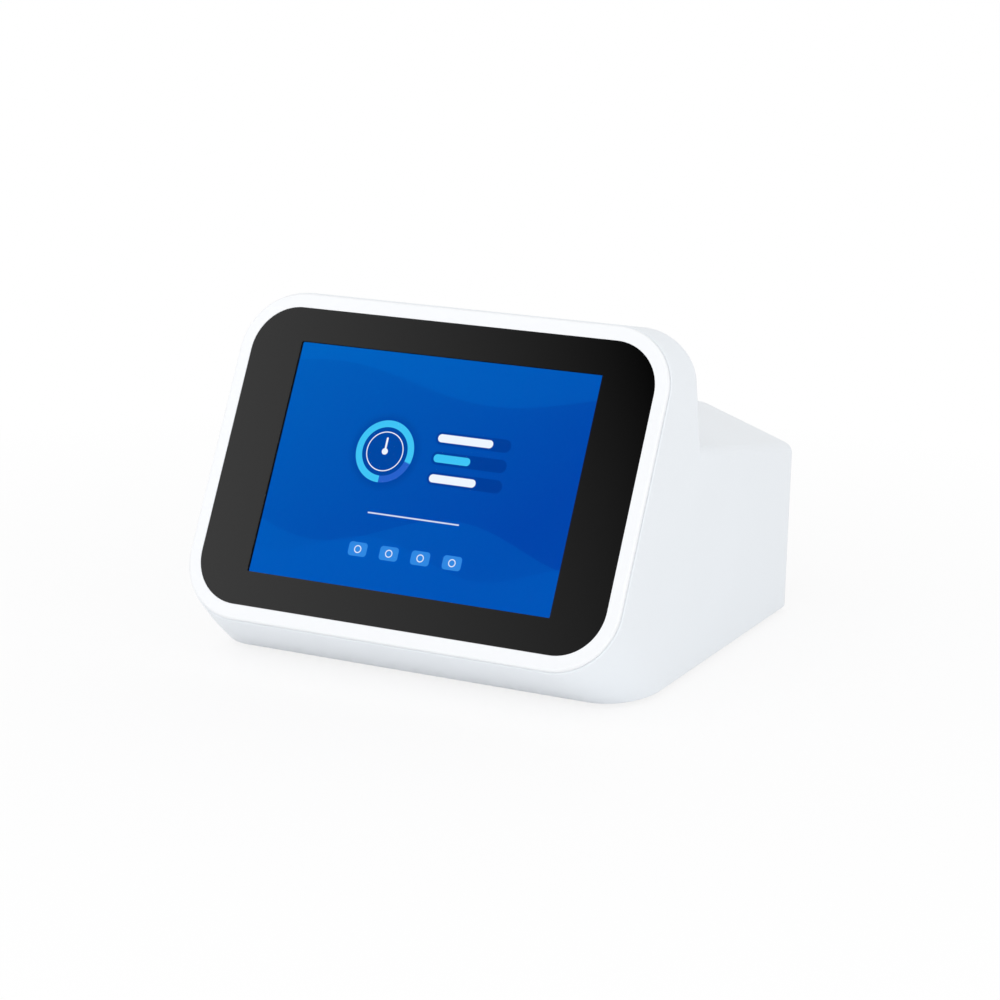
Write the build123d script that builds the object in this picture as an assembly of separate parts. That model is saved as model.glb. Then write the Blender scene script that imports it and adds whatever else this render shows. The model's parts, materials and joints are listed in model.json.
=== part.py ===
from build123d import *
from math import atan2, cos, pi, radians, sin, tan
import os

# Filter integrity tester, in millimetres. X to the right, Y to the back, Z up.
# The origin is the middle of the footprint, on the surface that the feet stand on.

# Overall form
depth = 310.0
body_w = 302.2
wall = 3.0
foot_h = 3.0
front_tilt = 26.3
ring_low_z = 32.1
mouth_depth = 3.0
mouth_edge_r = 1.2

# Chin and base outline
base_front_in = 39.6
base_corner = (30.0, 43.0)
chin_mid_reach = 31.0
chin_mid_corner = (35.0, 42.0)
base_edge_r = 1.0

# Head behind the screen
head_back_in = 130.0
head_back_z = 179.5
head_back_lean = 12.5
head_back_rise = 44.0
head_back_r = 31.8
head_edge_r = 6.0

# Rear deck: a flat middle between two inclined shoulders
deck_slope = 9.9
deck_rear_z = 139.6
deck_half_w = 84.0
shoulder_slope = 19.4
deck_ridge_r = 25.0
rear_edge_r = 8.0
tail_front_in = 92.0
tail_front_z = 120.0
tail_front_slant = 15.0

# Front ring, cover glass and display
ring_margin = 0.9
ring_h = 217.1
ring_r = 40.5
ring_plate_t = 2.4
ring_edge_r = 1.6
ring_depth = 9.0
ring_fit = 0.3
view_side = 18.2
view_end = 18.55
ring_view_r = 8.0
glass_side = 8.85
glass_end = 9.9
glass_r = 31.0
glass_t = 1.8
glass_set = 0.2
glass_fit = 0.2
tape_t = 0.4
tape_inset = 0.1
picture_w = 211.2
picture_h = 153.0
lcd_w = 211.2
lcd_h = 158.4
lcd_margin = 2.4
lcd_t = 1.8
lcd_frame_w = 236.0
lcd_frame_h = 176.9
bracket_side = 10.2
bracket_end = 13.55
bracket_t = 1.2
bracket_flange = 12.0
seat_t = 3.0
seat_gap = 0.3
display_screw_in = 3.5
display_screw_len = 5.0
display_screw_ys = (-66.0, 0.0, 66.0)

# Screws
screw_r = 1.5
screw_fit = 0.05
screw_head_r = 2.9
screw_head_t = 1.8
screw_len = 7.0

# Base plate and feet
base_t = 2.0
base_lip_t = 5.0
base_lip_inset = 16.0
base_rebate_inset = 10.0
base_fit = 0.3
base_back_in = 13.0
base_vent_len = 46.0
base_vent_w = 4.0
base_vent_pitch = 9.0
base_vent_count = 7
foot_r = 9.0
foot_stem_r = 3.0
foot_side = 39.1
foot_front_in = 86.0
foot_back_in = 40.0
boss_r = 4.5
boss_h = 22.0
boss_side = 17.1
boss_front_in = 100.0
boss_back_in = 60.0

# Rear bay and rear panel
bay_w = 240.0
bay_h = 78.0
bay_r = 8.0
bay_z = 60.0
bay_wall = 2.5
bay_depth = 23.0
bay_lip = 5.0
bay_lip_t = 3.0
tray_fit = 0.2
tray_flange_w = 6.0
tray_flange_t = 2.0
panel_t = 2.0
panel_fit = 0.2
panel_screw_in = 5.0
panel_boss_r = 4.0
panel_boss_len = 5.0

# Mains inlet module, seen from behind: u to the right, v up, w outwards
inlet_u = 95.0
inlet_v = 0.0
inlet_flange_w = 31.0
inlet_flange_h = 60.0
inlet_flange_t = 2.5
inlet_body_w = 27.0
inlet_body_h = 56.0
inlet_body_d = 30.0
inlet_fit = 0.2
socket_v = -15.5
socket_w = 24.4
socket_h = 16.8
socket_d = 17.0
socket_corner = 4.0
inlet_pin_w = 2.0
inlet_pin_h = 4.0
inlet_pin_d = 15.0
inlet_pin_u = 7.0
inlet_pin_v = 2.0
drawer_v = 1.6
drawer_w = 20.0
drawer_h = 8.0
drawer_d = 24.0
drawer_fit = 0.15
drawer_face_w = 22.5
drawer_face_h = 9.6
drawer_face_t = 1.6
fuse_r = 2.5
fuse_len = 20.0
fuse_u = 4.6
fuse_fit = 0.05
rocker_v = 18.0
rocker_w = 20.4
rocker_h = 13.0
rocker_body_d = 3.0
rocker_shoulder = 2.2
rocker_room_d = 6.5
rocker_side_fit = 0.15
rocker_fit = 0.5
rocker_pivot_w = -1.0
rocker_pin_r = 1.0
rocker_pin_fit = 0.05
rocker_pin_len = 1.5
rocker_crown = 3.6
rocker_throw = 9.0

# Data sockets and their board
board_t = 1.6
io_board_v = -30.0
io_board_w = 96.0
io_board_back_in = 82.0
io_board_gap = 1.0
io_board_u = 26.0
usb_u = 58.0
usb_w = 14.6
usb_h = 16.0
usb_d = 18.0
usb_hole_w = 12.6
usb_hole_h = 5.2
usb_hole_v = 3.7
usb_tongue_t = 1.8
lan_u = 33.0
lan_w = 16.0
lan_h = 13.5
lan_d = 20.0
lan_hole_w = 11.8
lan_hole_h = 7.4
lan_notch_w = 6.0
lan_notch_h = 2.6
lan_hole_d = 13.0
serial_u = 2.0
serial_flange_w = 31.0
serial_h = 12.6
serial_shell_w = 17.0
serial_shell_h = 8.4
serial_shell_out = 6.0
serial_d = 11.0
serial_stud_u = 12.5
socket_out = 0.8
socket_fit = 0.3

# Cooling fan behind its grille
fan_u = 28.0
fan_v = 13.0
fan_w = 40.0
fan_d = 10.0
fan_corner_r = 3.0
fan_bore_r = 19.0
fan_tip_gap = 0.8
fan_hub_r = 8.5
fan_blades = 7
fan_blade_t = 1.2
fan_blade_pitch = 38.0
fan_rotor_d = 7.0
fan_axle_r = 1.5
fan_axle_fit = 0.04
fan_axle_len = 5.6
fan_arm_w = 3.0
fan_arm_t = 1.6
fan_screw_pitch = 32.0
grille_r = 17.5
grille_slot_w = 3.2
grille_pitch = 5.6

# Gas ports, seen from behind
port_v = -4.0
supply_u = -44.0
test_u = -74.0
exhaust_u = -103.0
port_thread_r = 6.5
port_thread_fit = 0.1
port_thread_len = 12.0
port_tail = 16.0
port_flange_r = 10.0
port_flange_t = 3.0
nut_flat = 17.0
nut_t = 5.0
barb_r = 2.2
nipple_r = 4.0
nipple_len = 16.0
nipple_groove_r = 3.3
nipple_groove_at = 9.0
nipple_bore_r = 1.6
test_bore_r = 4.1
test_bore_d = 14.0
test_body_r = 8.0
test_body_len = 17.0
sleeve_r = 11.0
sleeve_len = 9.0
sleeve_fit = 0.06
sleeve_travel = 3.0
sleeve_lip_t = 1.5
sleeve_lip_h = 0.9
silencer_r = 6.0
silencer_len = 15.0

# Gas manifold, valves, sensors, regulator and tank
manifold_side = 61.1
manifold_back_in = 104.0
manifold_w = 90.0
manifold_d = 34.0
manifold_h = 34.0
valve_pitch = 30.0
valve_w = 20.0
valve_d = 26.0
valve_h = 32.0
plunger_r = 4.0
plunger_len = 20.0
plunger_fit = 0.05
plunger_rest_gap = 0.3
plunger_bore_h = 26.0
sensor_r = 8.0
sensor_len = 16.0
sensor_z = 22.0
regulator_w = 30.0
regulator_bonnet_r = 12.0
regulator_bonnet_h = 24.0
tank_r = 30.0
tank_len = 190.0
tank_wall = 1.5
tank_dome = 12.0
tank_front_in = 108.0
tank_lift = 8.0
tank_boss_r = 5.0
tank_port_x = 75.0
tank_boss_h = 5.0
band_w = 14.0
band_t = 1.6
band_x = 62.0
band_fit = 0.02
band_foot_w = 52.0
tube_r = 3.0
tube_port_z = 22.0
tube_fit = 0.05
collar_r = 5.0
collar_len = 6.0
tube_straight = 14.0

# Power supply
cage_side = 57.1
cage_back_in = 123.0
cage_w = 62.0
cage_d = 78.0
cage_h = 40.0
cage_t = 1.2
cage_slot_w = 3.0
cage_slot_len = 44.0
cage_slot_pitch = 9.0
cage_slots = 7
cage_stud_h = 6.0
cage_stud_r = 2.5
power_board_inset = 3.0

# Main board on the display bracket
main_board_w = 150.0
main_board_h = 100.0
standoff_r = 2.8
standoff_h = 8.0
standoff_inset = 6.0

# Printer on the rear deck. Its own axes: x to the right, y down the deck, z out of it.
printer_back_in = 106.0
bezel_w = 96.0
bezel_low_y = -53.0
bezel_high_y = 51.0
bezel_r = 6.0
bezel_top = 1.8
bezel_set = 1.2
bezel_fit = 0.2
window_half_w = 38.8
window_low_y = -27.6
window_high_y = 44.4
bucket_half_w = 40.5
bucket_wall = 2.0
bucket_low_y = -50.0
bucket_high_y = 46.0
bucket_floor = -42.0
bucket_fit = 0.4
roll_y = 12.0
roll_z = -24.0
roll_r = 20.0
roll_w = 57.0
roll_room = 2.5
core_r = 6.5
core_bore_r = 5.6
cheek_x = 30.4
cheek_t = 2.0
cheek_low_y = -38.0
cheek_top = -12.6
platen_y = -20.0
platen_z = -6.4
platen_r = 5.8
platen_half_w = 28.8
shaft_r = 1.5
shaft_fit = 0.04
gear_module = 0.6
gear_x = 33.4
gear_t = 3.0
platen_teeth = 20
idler_teeth = 30
pinion_teeth = 12
gear_backlash = 0.12
gear_centre_gap = 0.1
pinion_direction = 209.0
motor_r = 9.0
motor_len = 20.0
motor_shaft_r = 1.0
head_face_gap = 0.3
head_t = 4.0
head_low = -17.0
head_high = -1.6
head_pivot_z = -15.4
head_pivot_r = 1.2
head_half_w = 29.4
head_chip_h = 5.0
head_chip_t = 0.8
tear_low_y = -34.0
tear_edge_y = -27.0
tear_t = 0.6
tear_tooth = 1.2
tear_teeth = 22
tear_half_w = 30.0
lid_half_w = 38.4
lid_front_y = -24.6
lid_t = 2.0
lid_low = 0.6
lid_ear_t = 2.0
lid_ear_depth = 3.6
hinge_y = 41.0
hinge_z = 0.8
hinge_pin_r = 1.2
hinge_fit = 0.04
barrel_r = 2.4
barrel_half_w = 33.4
lug_t = 4.0
lug_gap = 0.4
key_y = -41.0
key_flange = 1.0
key_flange_t = 1.6
key_top = 3.0
key_fit = 0.15
release_x = 22.0
release_w = 20.0
release_h = 10.0
feed_x = -22.0
feed_w = 11.0
feed_h = 11.0

# Places worked out from the sizes above
front_y = -depth / 2
rear_y = depth / 2
side_x = body_w / 2
tilt = radians(front_tilt)
slope = radians(deck_slope)
ring_w = body_w - 2 * ring_margin
ring_view_w = ring_w - 2 * view_side
ring_view_h = ring_h - 2 * view_end
glass_w = ring_w - 2 * glass_side
glass_h = ring_h - 2 * glass_end
bracket_w = ring_w - 2 * bracket_side
bracket_h = ring_h - 2 * bracket_end
display_screw_x = bracket_w / 2 - display_screw_in
ring_nose = ring_edge_r * (sin(tilt) + cos(tilt) - 1)
screen_y = front_y + ring_h / 2 * sin(tilt) - ring_nose
screen_z = ring_low_z + ring_h / 2 * cos(tilt)
screen = Plane(origin=(0, screen_y, screen_z), x_dir=(1, 0, 0), z_dir=(0, -cos(tilt), sin(tilt)))
mouth = screen.offset(-mouth_depth)
mouth_w = body_w
mouth_h = ring_h + 2 * ring_margin
mouth_r = ring_r + ring_margin
base_front_y = front_y + base_front_in
head_back_y = front_y + head_back_in
tail_front_y = front_y + tail_front_in
base_top = foot_h + base_t
lip_top = foot_h + base_lip_t
foot_xs = (foot_side - side_x, side_x - foot_side)
foot_ys = (front_y + foot_front_in, rear_y - foot_back_in)
boss_xs = (boss_side - side_x, side_x - boss_side)
boss_ys = (front_y + boss_front_in, (boss_front_in - boss_back_in) / 2, rear_y - boss_back_in)
panel_y = rear_y - bay_depth
panel_screw_x = bay_w / 2 - panel_screw_in
panel_screw_z = bay_h / 2 - panel_screw_in
io_board_low_y = rear_y - io_board_back_in
manifold_x = side_x - manifold_side
manifold_y = rear_y - manifold_back_in
tank_y = front_y + tank_front_in
cage_x = cage_side - side_x
cage_y = rear_y - cage_back_in
printer_y = rear_y - printer_back_in
rear = Plane(origin=(0, panel_y, bay_z), x_dir=(-1, 0, 0), z_dir=(0, 1, 0))
deck_z = deck_rear_z + tan(slope) * (rear_y - printer_y)
deck = Plane(origin=(0, printer_y, deck_z), x_dir=(1, 0, 0), z_dir=(0, sin(slope), cos(slope)))
tape_back = glass_set + glass_t + tape_t
platen_pitch_r = gear_module * platen_teeth / 2
idler_pitch_r = gear_module * idler_teeth / 2
pinion_pitch_r = gear_module * pinion_teeth / 2
idler_y = platen_y
idler_z = platen_z - platen_pitch_r - idler_pitch_r - gear_centre_gap
pinion_reach = idler_pitch_r + pinion_pitch_r + gear_centre_gap
pinion_y = idler_y + pinion_reach * cos(radians(pinion_direction))
pinion_z = idler_z + pinion_reach * sin(radians(pinion_direction))
head_face_y = platen_y - platen_r - head_face_gap
head_pivot_y = head_face_y - head_t / 2
tank_z = base_top + tank_lift + tank_r


# Shared shapes

def slab(width, height, radius, low, high, x=0.0, y=0.0):
    """A plate with rounded corners, from z = low to z = high."""
    plate = extrude(RectangleRounded(width, height, radius), high - low)
    return Pos(x, y, low) * plate


def block(x0, x1, y0, y1, z0, z1):
    """A box between two corners."""
    return Pos((x0 + x1) / 2, (y0 + y1) / 2, (z0 + z1) / 2) * Box(x1 - x0, y1 - y0, z1 - z0)


def rod(radius, low, high, x=0.0, y=0.0):
    """A cylinder along z, from low to high."""
    return Pos(x, y, (low + high) / 2) * Cylinder(radius, high - low)


def cross_rod(radius, x0, x1, y, z):
    """A cylinder along x."""
    return Pos((x0 + x1) / 2, y, z) * Rot(0, 90, 0) * Cylinder(radius, x1 - x0)


def turned(*profile):
    """A turned piece on the z axis, from (radius, z) points."""
    return revolve(make_face(Plane.XZ * Polyline(*[(r, z) for r, z in profile], close=True)), Axis.Z)


def screw(length=screw_len):
    """A cheese-head screw on the z axis, its head above z = 0."""
    return rod(screw_r, -length, 0) + rod(screw_head_r, 0, screw_head_t)


def save(name, *solids):
    """Write one node, one or more separate solids."""
    shape = solids[0] if len(solids) == 1 else Compound(children=list(solids))
    export_step(shape, f"parts/{name}.step")


# Housing

def arch(plane, half_w, low, high, corner):
    """A face whose two low corners are elliptical arcs."""
    cx, cy = corner
    edges = [
        Line((-half_w, high), (-half_w, low + cy)),
        EllipticalCenterArc((-half_w + cx, low + cy), cx, cy, start_angle=180, arc_size=90),
        Line((-half_w + cx, low), (half_w - cx, low)),
        EllipticalCenterArc((half_w - cx, low + cy), cx, cy, start_angle=270, arc_size=90),
        Line((half_w, low + cy), (half_w, high)),
        Line((half_w, high), (-half_w, high)),
    ]
    return plane * make_face(edges)


def chin_form(inset, floor_z):
    """The chin: three outlines that fan about the line where the mouth meets the floor."""
    reach = (mouth.origin.Z - floor_z) / cos(tilt)
    fan_y = mouth.origin.Y - reach * sin(tilt)
    mouth_angle = 90 - front_tilt
    mouth_low = reach - mouth_h / 2 + inset
    base_low = base_front_y + inset - fan_y
    outlines = (
        (mouth_angle, mouth_low, reach + 20, (mouth_r, mouth_r)),
        (mouth_angle / 2, chin_mid_reach + inset, reach + 35, chin_mid_corner),
        (0, base_low, reach + 10, base_corner),
    )
    faces = []
    for angle, low, high, corner in outlines:
        a = radians(angle)
        plane = Plane(origin=(0, fan_y, floor_z), x_dir=(1, 0, 0), z_dir=(0, -sin(a), cos(a)))
        faces.append(arch(plane, body_w / 2 - inset, low, high, [r - inset for r in corner]))
    return loft(faces)


def hood(plane, half_w, low, high, radius):
    """A face whose two high corners are round."""
    edges = [
        Line((-half_w, low), (half_w, low)),
        Line((half_w, low), (half_w, high - radius)),
        CenterArc((half_w - radius, high - radius), radius, 0, 90),
        Line((half_w - radius, high), (-half_w + radius, high)),
        CenterArc((-half_w + radius, high - radius), radius, 90, 90),
        Line((-half_w, high - radius), (-half_w, low)),
    ]
    return plane * make_face(edges)


def head_form(inset):
    """The head: from the mouth outline to the smaller, leaning back of the head."""
    lean = radians(head_back_lean)
    back = Plane(
        origin=(0, head_back_y - inset, head_back_z),
        x_dir=(1, 0, 0),
        z_dir=(0, -cos(lean), -sin(lean)),
    )
    half_w = body_w / 2 - inset
    front_face = hood(mouth, half_w, -40, mouth_h / 2 - inset, mouth_r - inset)
    back_face = hood(back, half_w, -90, head_back_rise - inset, head_back_r - inset)
    return loft([front_face, back_face], ruled=True)


def tail_form(inset, floor_z):
    """The rear body under its deck, its edges rounded."""
    half_w = side_x - inset
    back = rear_y - inset
    rear_z = deck_rear_z - inset / cos(slope)
    ridge_y = tail_front_y + tail_front_slant
    outline = [
        (tail_front_y, floor_z),
        (back, floor_z),
        (back, rear_z + tan(slope) * inset),
        (ridge_y, rear_z + tan(slope) * (rear_y - ridge_y)),
        (tail_front_y, tail_front_z),
    ]
    body = extrude(make_face(Plane.YZ * Polyline(*outline, close=True)), half_w, both=True)
    down_deck = Vector(0, cos(slope), -sin(slope))
    for side in (-1, 1):
        outward = Vector(side, 0, -tan(radians(shoulder_slope)))
        up = outward.cross(down_deck) * side
        ridge = Plane(origin=(side * deck_half_w, rear_y, rear_z), x_dir=down_deck, z_dir=up)
        body -= ridge * Pos(0, 0, side_x / 2) * Box(3 * depth, body_w, side_x)
    body = fillet(deck_edges(body, deck_half_w), deck_ridge_r - inset)
    uprights = [e for e in at_back(body, back) if abs(e.tangent_at(0.5).Z) > 0.9]
    body = fillet(uprights + deck_edges(body, half_w), rear_edge_r - inset)
    rims = [e for e in at_back(body, back) if e.center().Z > 90 and abs(e.tangent_at(0.5).Z) < 0.5]
    return fillet(rims, rear_edge_r - inset)


def at_back(body, back):
    """The edges in the plane of the rear wall."""
    return [e for e in body.edges() if abs(e.center().Y - back) < 0.5 and abs(e.tangent_at(0.5).Y) < 0.01]


def deck_edges(body, x):
    """The two edges that run down the deck at x and -x."""
    found = []
    for e in body.edges():
        t = e.tangent_at(0.5)
        runs_down = abs(t.X) < 0.01 and abs(abs(t.Z) - sin(slope)) < 0.01
        if runs_down and abs(abs(e.center().X) - x) < 0.5:
            found.append(e)
    return found


def hull(inset, floor_z):
    """The whole body as one solid, moved inwards by inset."""
    return chin_form(inset, floor_z) + head_form(inset) + tail_form(inset, floor_z)


def base_outline(inset, low, high):
    """The base's outline moved inwards, as a solid from z = low to z = high."""
    half_w = body_w / 2 - inset
    corner = [r - inset for r in base_corner]
    back = rear_y - base_back_in - inset
    outline = arch(Plane.XY, half_w, base_front_y + inset, back, corner)
    return Pos(0, 0, low) * extrude(outline, high - low)


def bay_room(grow, y0, y1):
    """The rear bay's opening, larger by grow all round, from y0 to y1."""
    width, height = bay_w + 2 * grow, bay_h + 2 * grow
    return rear * slab(width, height, bay_r + grow, y0 - panel_y, y1 - panel_y)


def rear_tray():
    """The rear bay's walls, with the lip and bosses behind the panel and a flange inside the rear wall."""
    lip_low = -panel_t - bay_lip_t
    flange_y = rear_y - wall - tray_fit
    flange = bay_room(bay_wall + tray_flange_w, flange_y - tray_flange_t, flange_y)
    tray = bay_room(bay_wall, panel_y + lip_low, rear_y) + (flange & hull(wall + tray_fit, lip_top))
    tray -= bay_room(0, panel_y - panel_t, rear_y + 1)
    tray -= bay_room(-bay_lip, panel_y + lip_low - 1, rear_y)
    for x, y in panel_screw_places():
        tray += rear * rod(panel_boss_r, lip_low - panel_boss_len, -panel_t, x, y)
        tray -= rear * rod(screw_r + screw_fit, lip_low - panel_boss_len - 1, 0, x, y)
    return tray


def base_bosses(radius, low, high):
    """One rod at each place where a screw holds the base plate."""
    return [rod(radius, low, high, x, y) for x in boss_xs for y in boss_ys]


def housing():
    shell = hull(0, foot_h)
    top_edges = [e for e in shell.edges()
                 if abs(e.tangent_at(0.5).X) > 0.99 and e.center().Z > mouth.origin.Z + 60]
    shell = fillet([e for e in top_edges if e.center().Y > head_back_y - 30], head_edge_r)
    base_edges = [e for e in shell.edges() if e.center().Z < foot_h + 0.1]
    shell = fillet(base_edges, base_edge_r)
    room = hull(wall, lip_top)
    seat = mouth * slab(body_w, mouth_h + 20, mouth_r, mouth_depth - ring_depth - seat_gap - seat_t,
                        mouth_depth - ring_depth - seat_gap)
    seat -= screen * slab(bracket_w + 4, bracket_h + 8, ring_view_r, -60, 10)
    shell = shell - room + (seat & room)
    shell -= mouth * slab(mouth_w - 2 * wall, mouth_h - 2 * wall, mouth_r - wall,
                          mouth_depth - ring_depth - seat_gap, 1)
    shell = fillet(mouth_rim(shell), mouth_edge_r)
    shell -= bay_room(bay_wall + tray_fit, rear_y - 2 * wall, rear_y + 1)
    for boss in base_bosses(boss_r, lip_top - 1, boss_h):
        shell += boss
    shell -= base_outline(base_lip_inset, 0, lip_top + 1) - base_boss_block()
    shell -= base_outline(base_rebate_inset, 0, base_top)
    for hole in base_bosses(screw_r + screw_fit, 0, base_top + screw_len):
        shell -= hole
    shell -= deck * slab(bezel_w + 2 * bezel_fit, bezel_high_y - bezel_low_y + 2 * bezel_fit, bezel_r,
                         -bezel_set, 20, y=(bezel_low_y + bezel_high_y) / 2)
    shell -= deck * block(-bucket_half_w - bucket_fit, bucket_half_w + bucket_fit,
                          bucket_low_y - bucket_fit, bucket_high_y + bucket_fit, -30, 1)
    return shell


def mouth_rim(shell):
    """The outer edges of the housing's front face."""
    on_plane = [f for f in shell.faces() if abs(mouth.to_local_coords(f.center()).Z) < 0.01]
    return max(on_plane, key=lambda f: f.area).outer_wire().edges()


def base_boss_block():
    """What stays of the base lip around the screw bosses."""
    bosses = base_bosses(boss_r + 3, 0, lip_top + 1)
    block_around = bosses[0]
    for boss in bosses[1:]:
        block_around += boss
    return block_around


# Display group

def display_screw_places():
    return [(x, y) for x in (-display_screw_x, display_screw_x) for y in display_screw_ys]


def front_ring():
    """The frame that shows around the glass, with a spigot that enters the housing's mouth."""
    ring = slab(ring_w, ring_h, ring_r, -ring_plate_t, 0)
    front_face = ring.faces().sort_by(Axis.Z)[-1]
    ring = fillet(front_face.outer_wire().edges(), ring_edge_r)
    shrink = 2 * (wall + ring_fit)
    ring += slab(mouth_w - shrink, mouth_h - shrink, mouth_r - shrink / 2, -ring_depth, -ring_plate_t)
    ring -= slab(glass_w + 2 * glass_fit, glass_h + 2 * glass_fit, glass_r + glass_fit, -tape_back, 1)
    ring -= slab(ring_view_w, ring_view_h, ring_view_r, -ring_depth - 1, 1)
    hole_end = display_screw_len - ring_depth - bracket_t + 0.2
    for x, y in display_screw_places():
        ring -= rod(screw_r + screw_fit, -ring_depth - 1, hole_end, x, y)
    return screen * ring


def cover_glass():
    return screen * slab(glass_w, glass_h, glass_r, -glass_set - glass_t, -glass_set)


def glass_tape():
    """The adhesive frame that bonds the glass to the ring and the display."""
    tape = slab(glass_w - 2 * tape_inset, glass_h - 2 * tape_inset, glass_r - tape_inset,
                -tape_back, -glass_set - glass_t)
    tape -= slab(picture_w, picture_h, 1, -tape_back - 1, 0)
    return screen * tape


def lcd_panel():
    return screen * slab(lcd_w + 2 * lcd_margin, lcd_h + 2 * lcd_margin, 1, -tape_back - lcd_t, -tape_back)


def lcd_frame():
    """The display's metal case, with the panel in its front pocket."""
    case = slab(lcd_frame_w, lcd_frame_h, 2, -ring_depth, -tape_back)
    case -= slab(lcd_w + 2 * lcd_margin + 0.4, lcd_h + 2 * lcd_margin + 0.4, 1, -tape_back - lcd_t, 0)
    for x in (-lcd_frame_w / 2, lcd_frame_w / 2):
        case -= block(x - 3, x + 3, -12, 12, -ring_depth - 1, -ring_depth + 2)
    return screen * case


def display_bracket():
    """A folded sheet across the back of the ring, which holds the display and the main board."""
    back = -ring_depth - bracket_t
    sheet = slab(bracket_w, bracket_h, 6, back, -ring_depth)
    for side in (-1, 1):
        y = side * bracket_h / 2
        sheet += block(-bracket_w / 2 + 16, bracket_w / 2 - 16, min(y, y - side * bracket_t),
                       max(y, y - side * bracket_t), back - bracket_flange, back)
    for x in (-98, 98):
        sheet -= slab(24, 90, 5, back - 1, 0, x=x)
    for x, y in display_screw_places():
        sheet -= rod(screw_r + 2 * screw_fit, back - 1, 0, x, y)
    return screen * sheet


def display_screws():
    turned_over = Pos(0, 0, -ring_depth - bracket_t) * Rot(180, 0, 0) * screw(display_screw_len)
    return [screen * Pos(x, y, 0) * turned_over for x, y in display_screw_places()]


def standoff_places():
    half_w, half_h = main_board_w / 2 - standoff_inset, main_board_h / 2 - standoff_inset
    return [(x, y) for x in (-half_w, half_w) for y in (-half_h, half_h)]


def io_standoff_places():
    xs = [-io_board_u + side * (io_board_w / 2 - standoff_inset) for side in (-1, 1)]
    ys = (io_board_low_y + standoff_inset, panel_y - panel_t - bay_lip_t - standoff_inset)
    return [(x, y) for x in xs for y in ys]


def board_standoffs():
    """Spacers under the main board and under the input and output board."""
    back = -ring_depth - bracket_t
    posts = [screen * rod(standoff_r, back - standoff_h, back, x, y) for x, y in standoff_places()]
    io_low = bay_z + io_board_v - board_t
    return posts + [rod(standoff_r, base_top, io_low, x, y) for x, y in io_standoff_places()]


def main_board():
    """The processor board, with its cooler, memory, coils and plugs."""
    top = -ring_depth - bracket_t - standoff_h
    low = top - board_t
    board = slab(main_board_w, main_board_h, 2, low, top)
    board += block(-18, 18, -16, 20, low - 3, low)
    for i in range(7):
        board += block(-18 + i * 5.6, -16.4 + i * 5.6, -16, 20, low - 10, low - 3)
    for x in (28, 42):
        board += block(x, x + 10, -10, 14, low - 1.2, low)
    for x in (-60, -46, -32):
        board += block(x, x + 9, 24, 33, low - 5, low)
    for y in (-40, -26, -12):
        board += block(56, 66, y, y + 11, low - 6, low)
    board += block(-64, -20, -44, -37, low - 7, low)
    for x in (-8, 4, 16):
        board += rod(4, low - 9, low, x, -38)
    return screen * board


# Base group

def base_plate():
    plate = base_outline(base_rebate_inset + base_fit, foot_h, base_top)
    for x, y0 in ((0, tank_y - 28), (-26, io_board_low_y - 22)):
        for i in range(base_vent_count):
            slot = slab(base_vent_len, base_vent_w, base_vent_w / 2 - 0.01, 0, base_top + 1)
            plate -= Pos(x, y0 + i * base_vent_pitch, 0) * slot
    for hole in base_bosses(screw_r + 2 * screw_fit, 0, base_top + 1):
        plate -= hole
    for x in foot_xs:
        for y in foot_ys:
            plate -= rod(foot_stem_r + screw_fit, 0, base_top + 1, x, y)
    return plate


def rubber_feet():
    """Feet with a stem through the base plate and a barb above it."""
    foot = turned((0, 0), (foot_r - 1, 0), (foot_r, 1), (foot_r, foot_h), (foot_stem_r, foot_h),
                  (foot_stem_r, base_top), (foot_stem_r + 0.9, base_top), (foot_stem_r - 0.6, base_top + 3),
                  (0, base_top + 3))
    return [Pos(x, y, 0) * foot for x in foot_xs for y in foot_ys]


def base_screws():
    one = Pos(0, 0, foot_h) * Rot(180, 0, 0) * screw(screw_len)
    return [Pos(x, y, 0) * one for x in boss_xs for y in boss_ys]


# Rear group. Its own axes, seen from behind: x to the right, y up, z outwards from the panel.

def panel_screw_places():
    corners = [(x, z) for x in (-panel_screw_x, panel_screw_x) for z in (-panel_screw_z, panel_screw_z)]
    return corners


def fan_screw_places():
    half = fan_screw_pitch / 2
    return [(fan_u + x, fan_v + y) for x in (-half, half) for y in (-half, half)]


def rear_panel():
    """The sheet at the bottom of the rear bay, cut for everything that it carries."""
    sheet = slab(bay_w - 2 * panel_fit, bay_h - 2 * panel_fit, bay_r - panel_fit, -panel_t, 0)
    cuts = [block(inlet_u - inlet_body_w / 2 - inlet_fit, inlet_u + inlet_body_w / 2 + inlet_fit,
                  inlet_v - inlet_body_h / 2 - inlet_fit, inlet_v + inlet_body_h / 2 + inlet_fit, -9, 9)]
    for u, width, height in ((usb_u, usb_w, usb_h), (lan_u, lan_w, lan_h),
                             (serial_u, serial_shell_w + 2, serial_h)):
        cuts.append(block(u - width / 2 - socket_fit, u + width / 2 + socket_fit,
                          io_board_v - socket_fit, io_board_v + height + socket_fit, -9, 9))
    for side in (-1, 1):
        cuts.append(rod(1.7, -9, 9, serial_u + side * serial_stud_u, io_board_v + serial_h / 2))
    for u in (supply_u, test_u, exhaust_u):
        cuts.append(rod(port_thread_r + port_thread_fit, -9, 9, u, port_v))
    for i in range(-2, 3):
        half_len = (grille_r ** 2 - (i * grille_pitch) ** 2) ** 0.5
        slot = slab(2 * half_len, grille_slot_w, grille_slot_w / 2 - 0.01, -9, 9)
        cuts.append(Pos(fan_u, fan_v + i * grille_pitch, 0) * slot)
    for x, y in panel_screw_places() + fan_screw_places():
        cuts.append(rod(screw_r + 2 * screw_fit, -9, 9, x, y))
    for cut in cuts:
        sheet -= cut
    return rear * sheet


def panel_screws():
    return [rear * Pos(x, y, 0) * screw(screw_len) for x, y in panel_screw_places() + fan_screw_places()]


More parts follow.
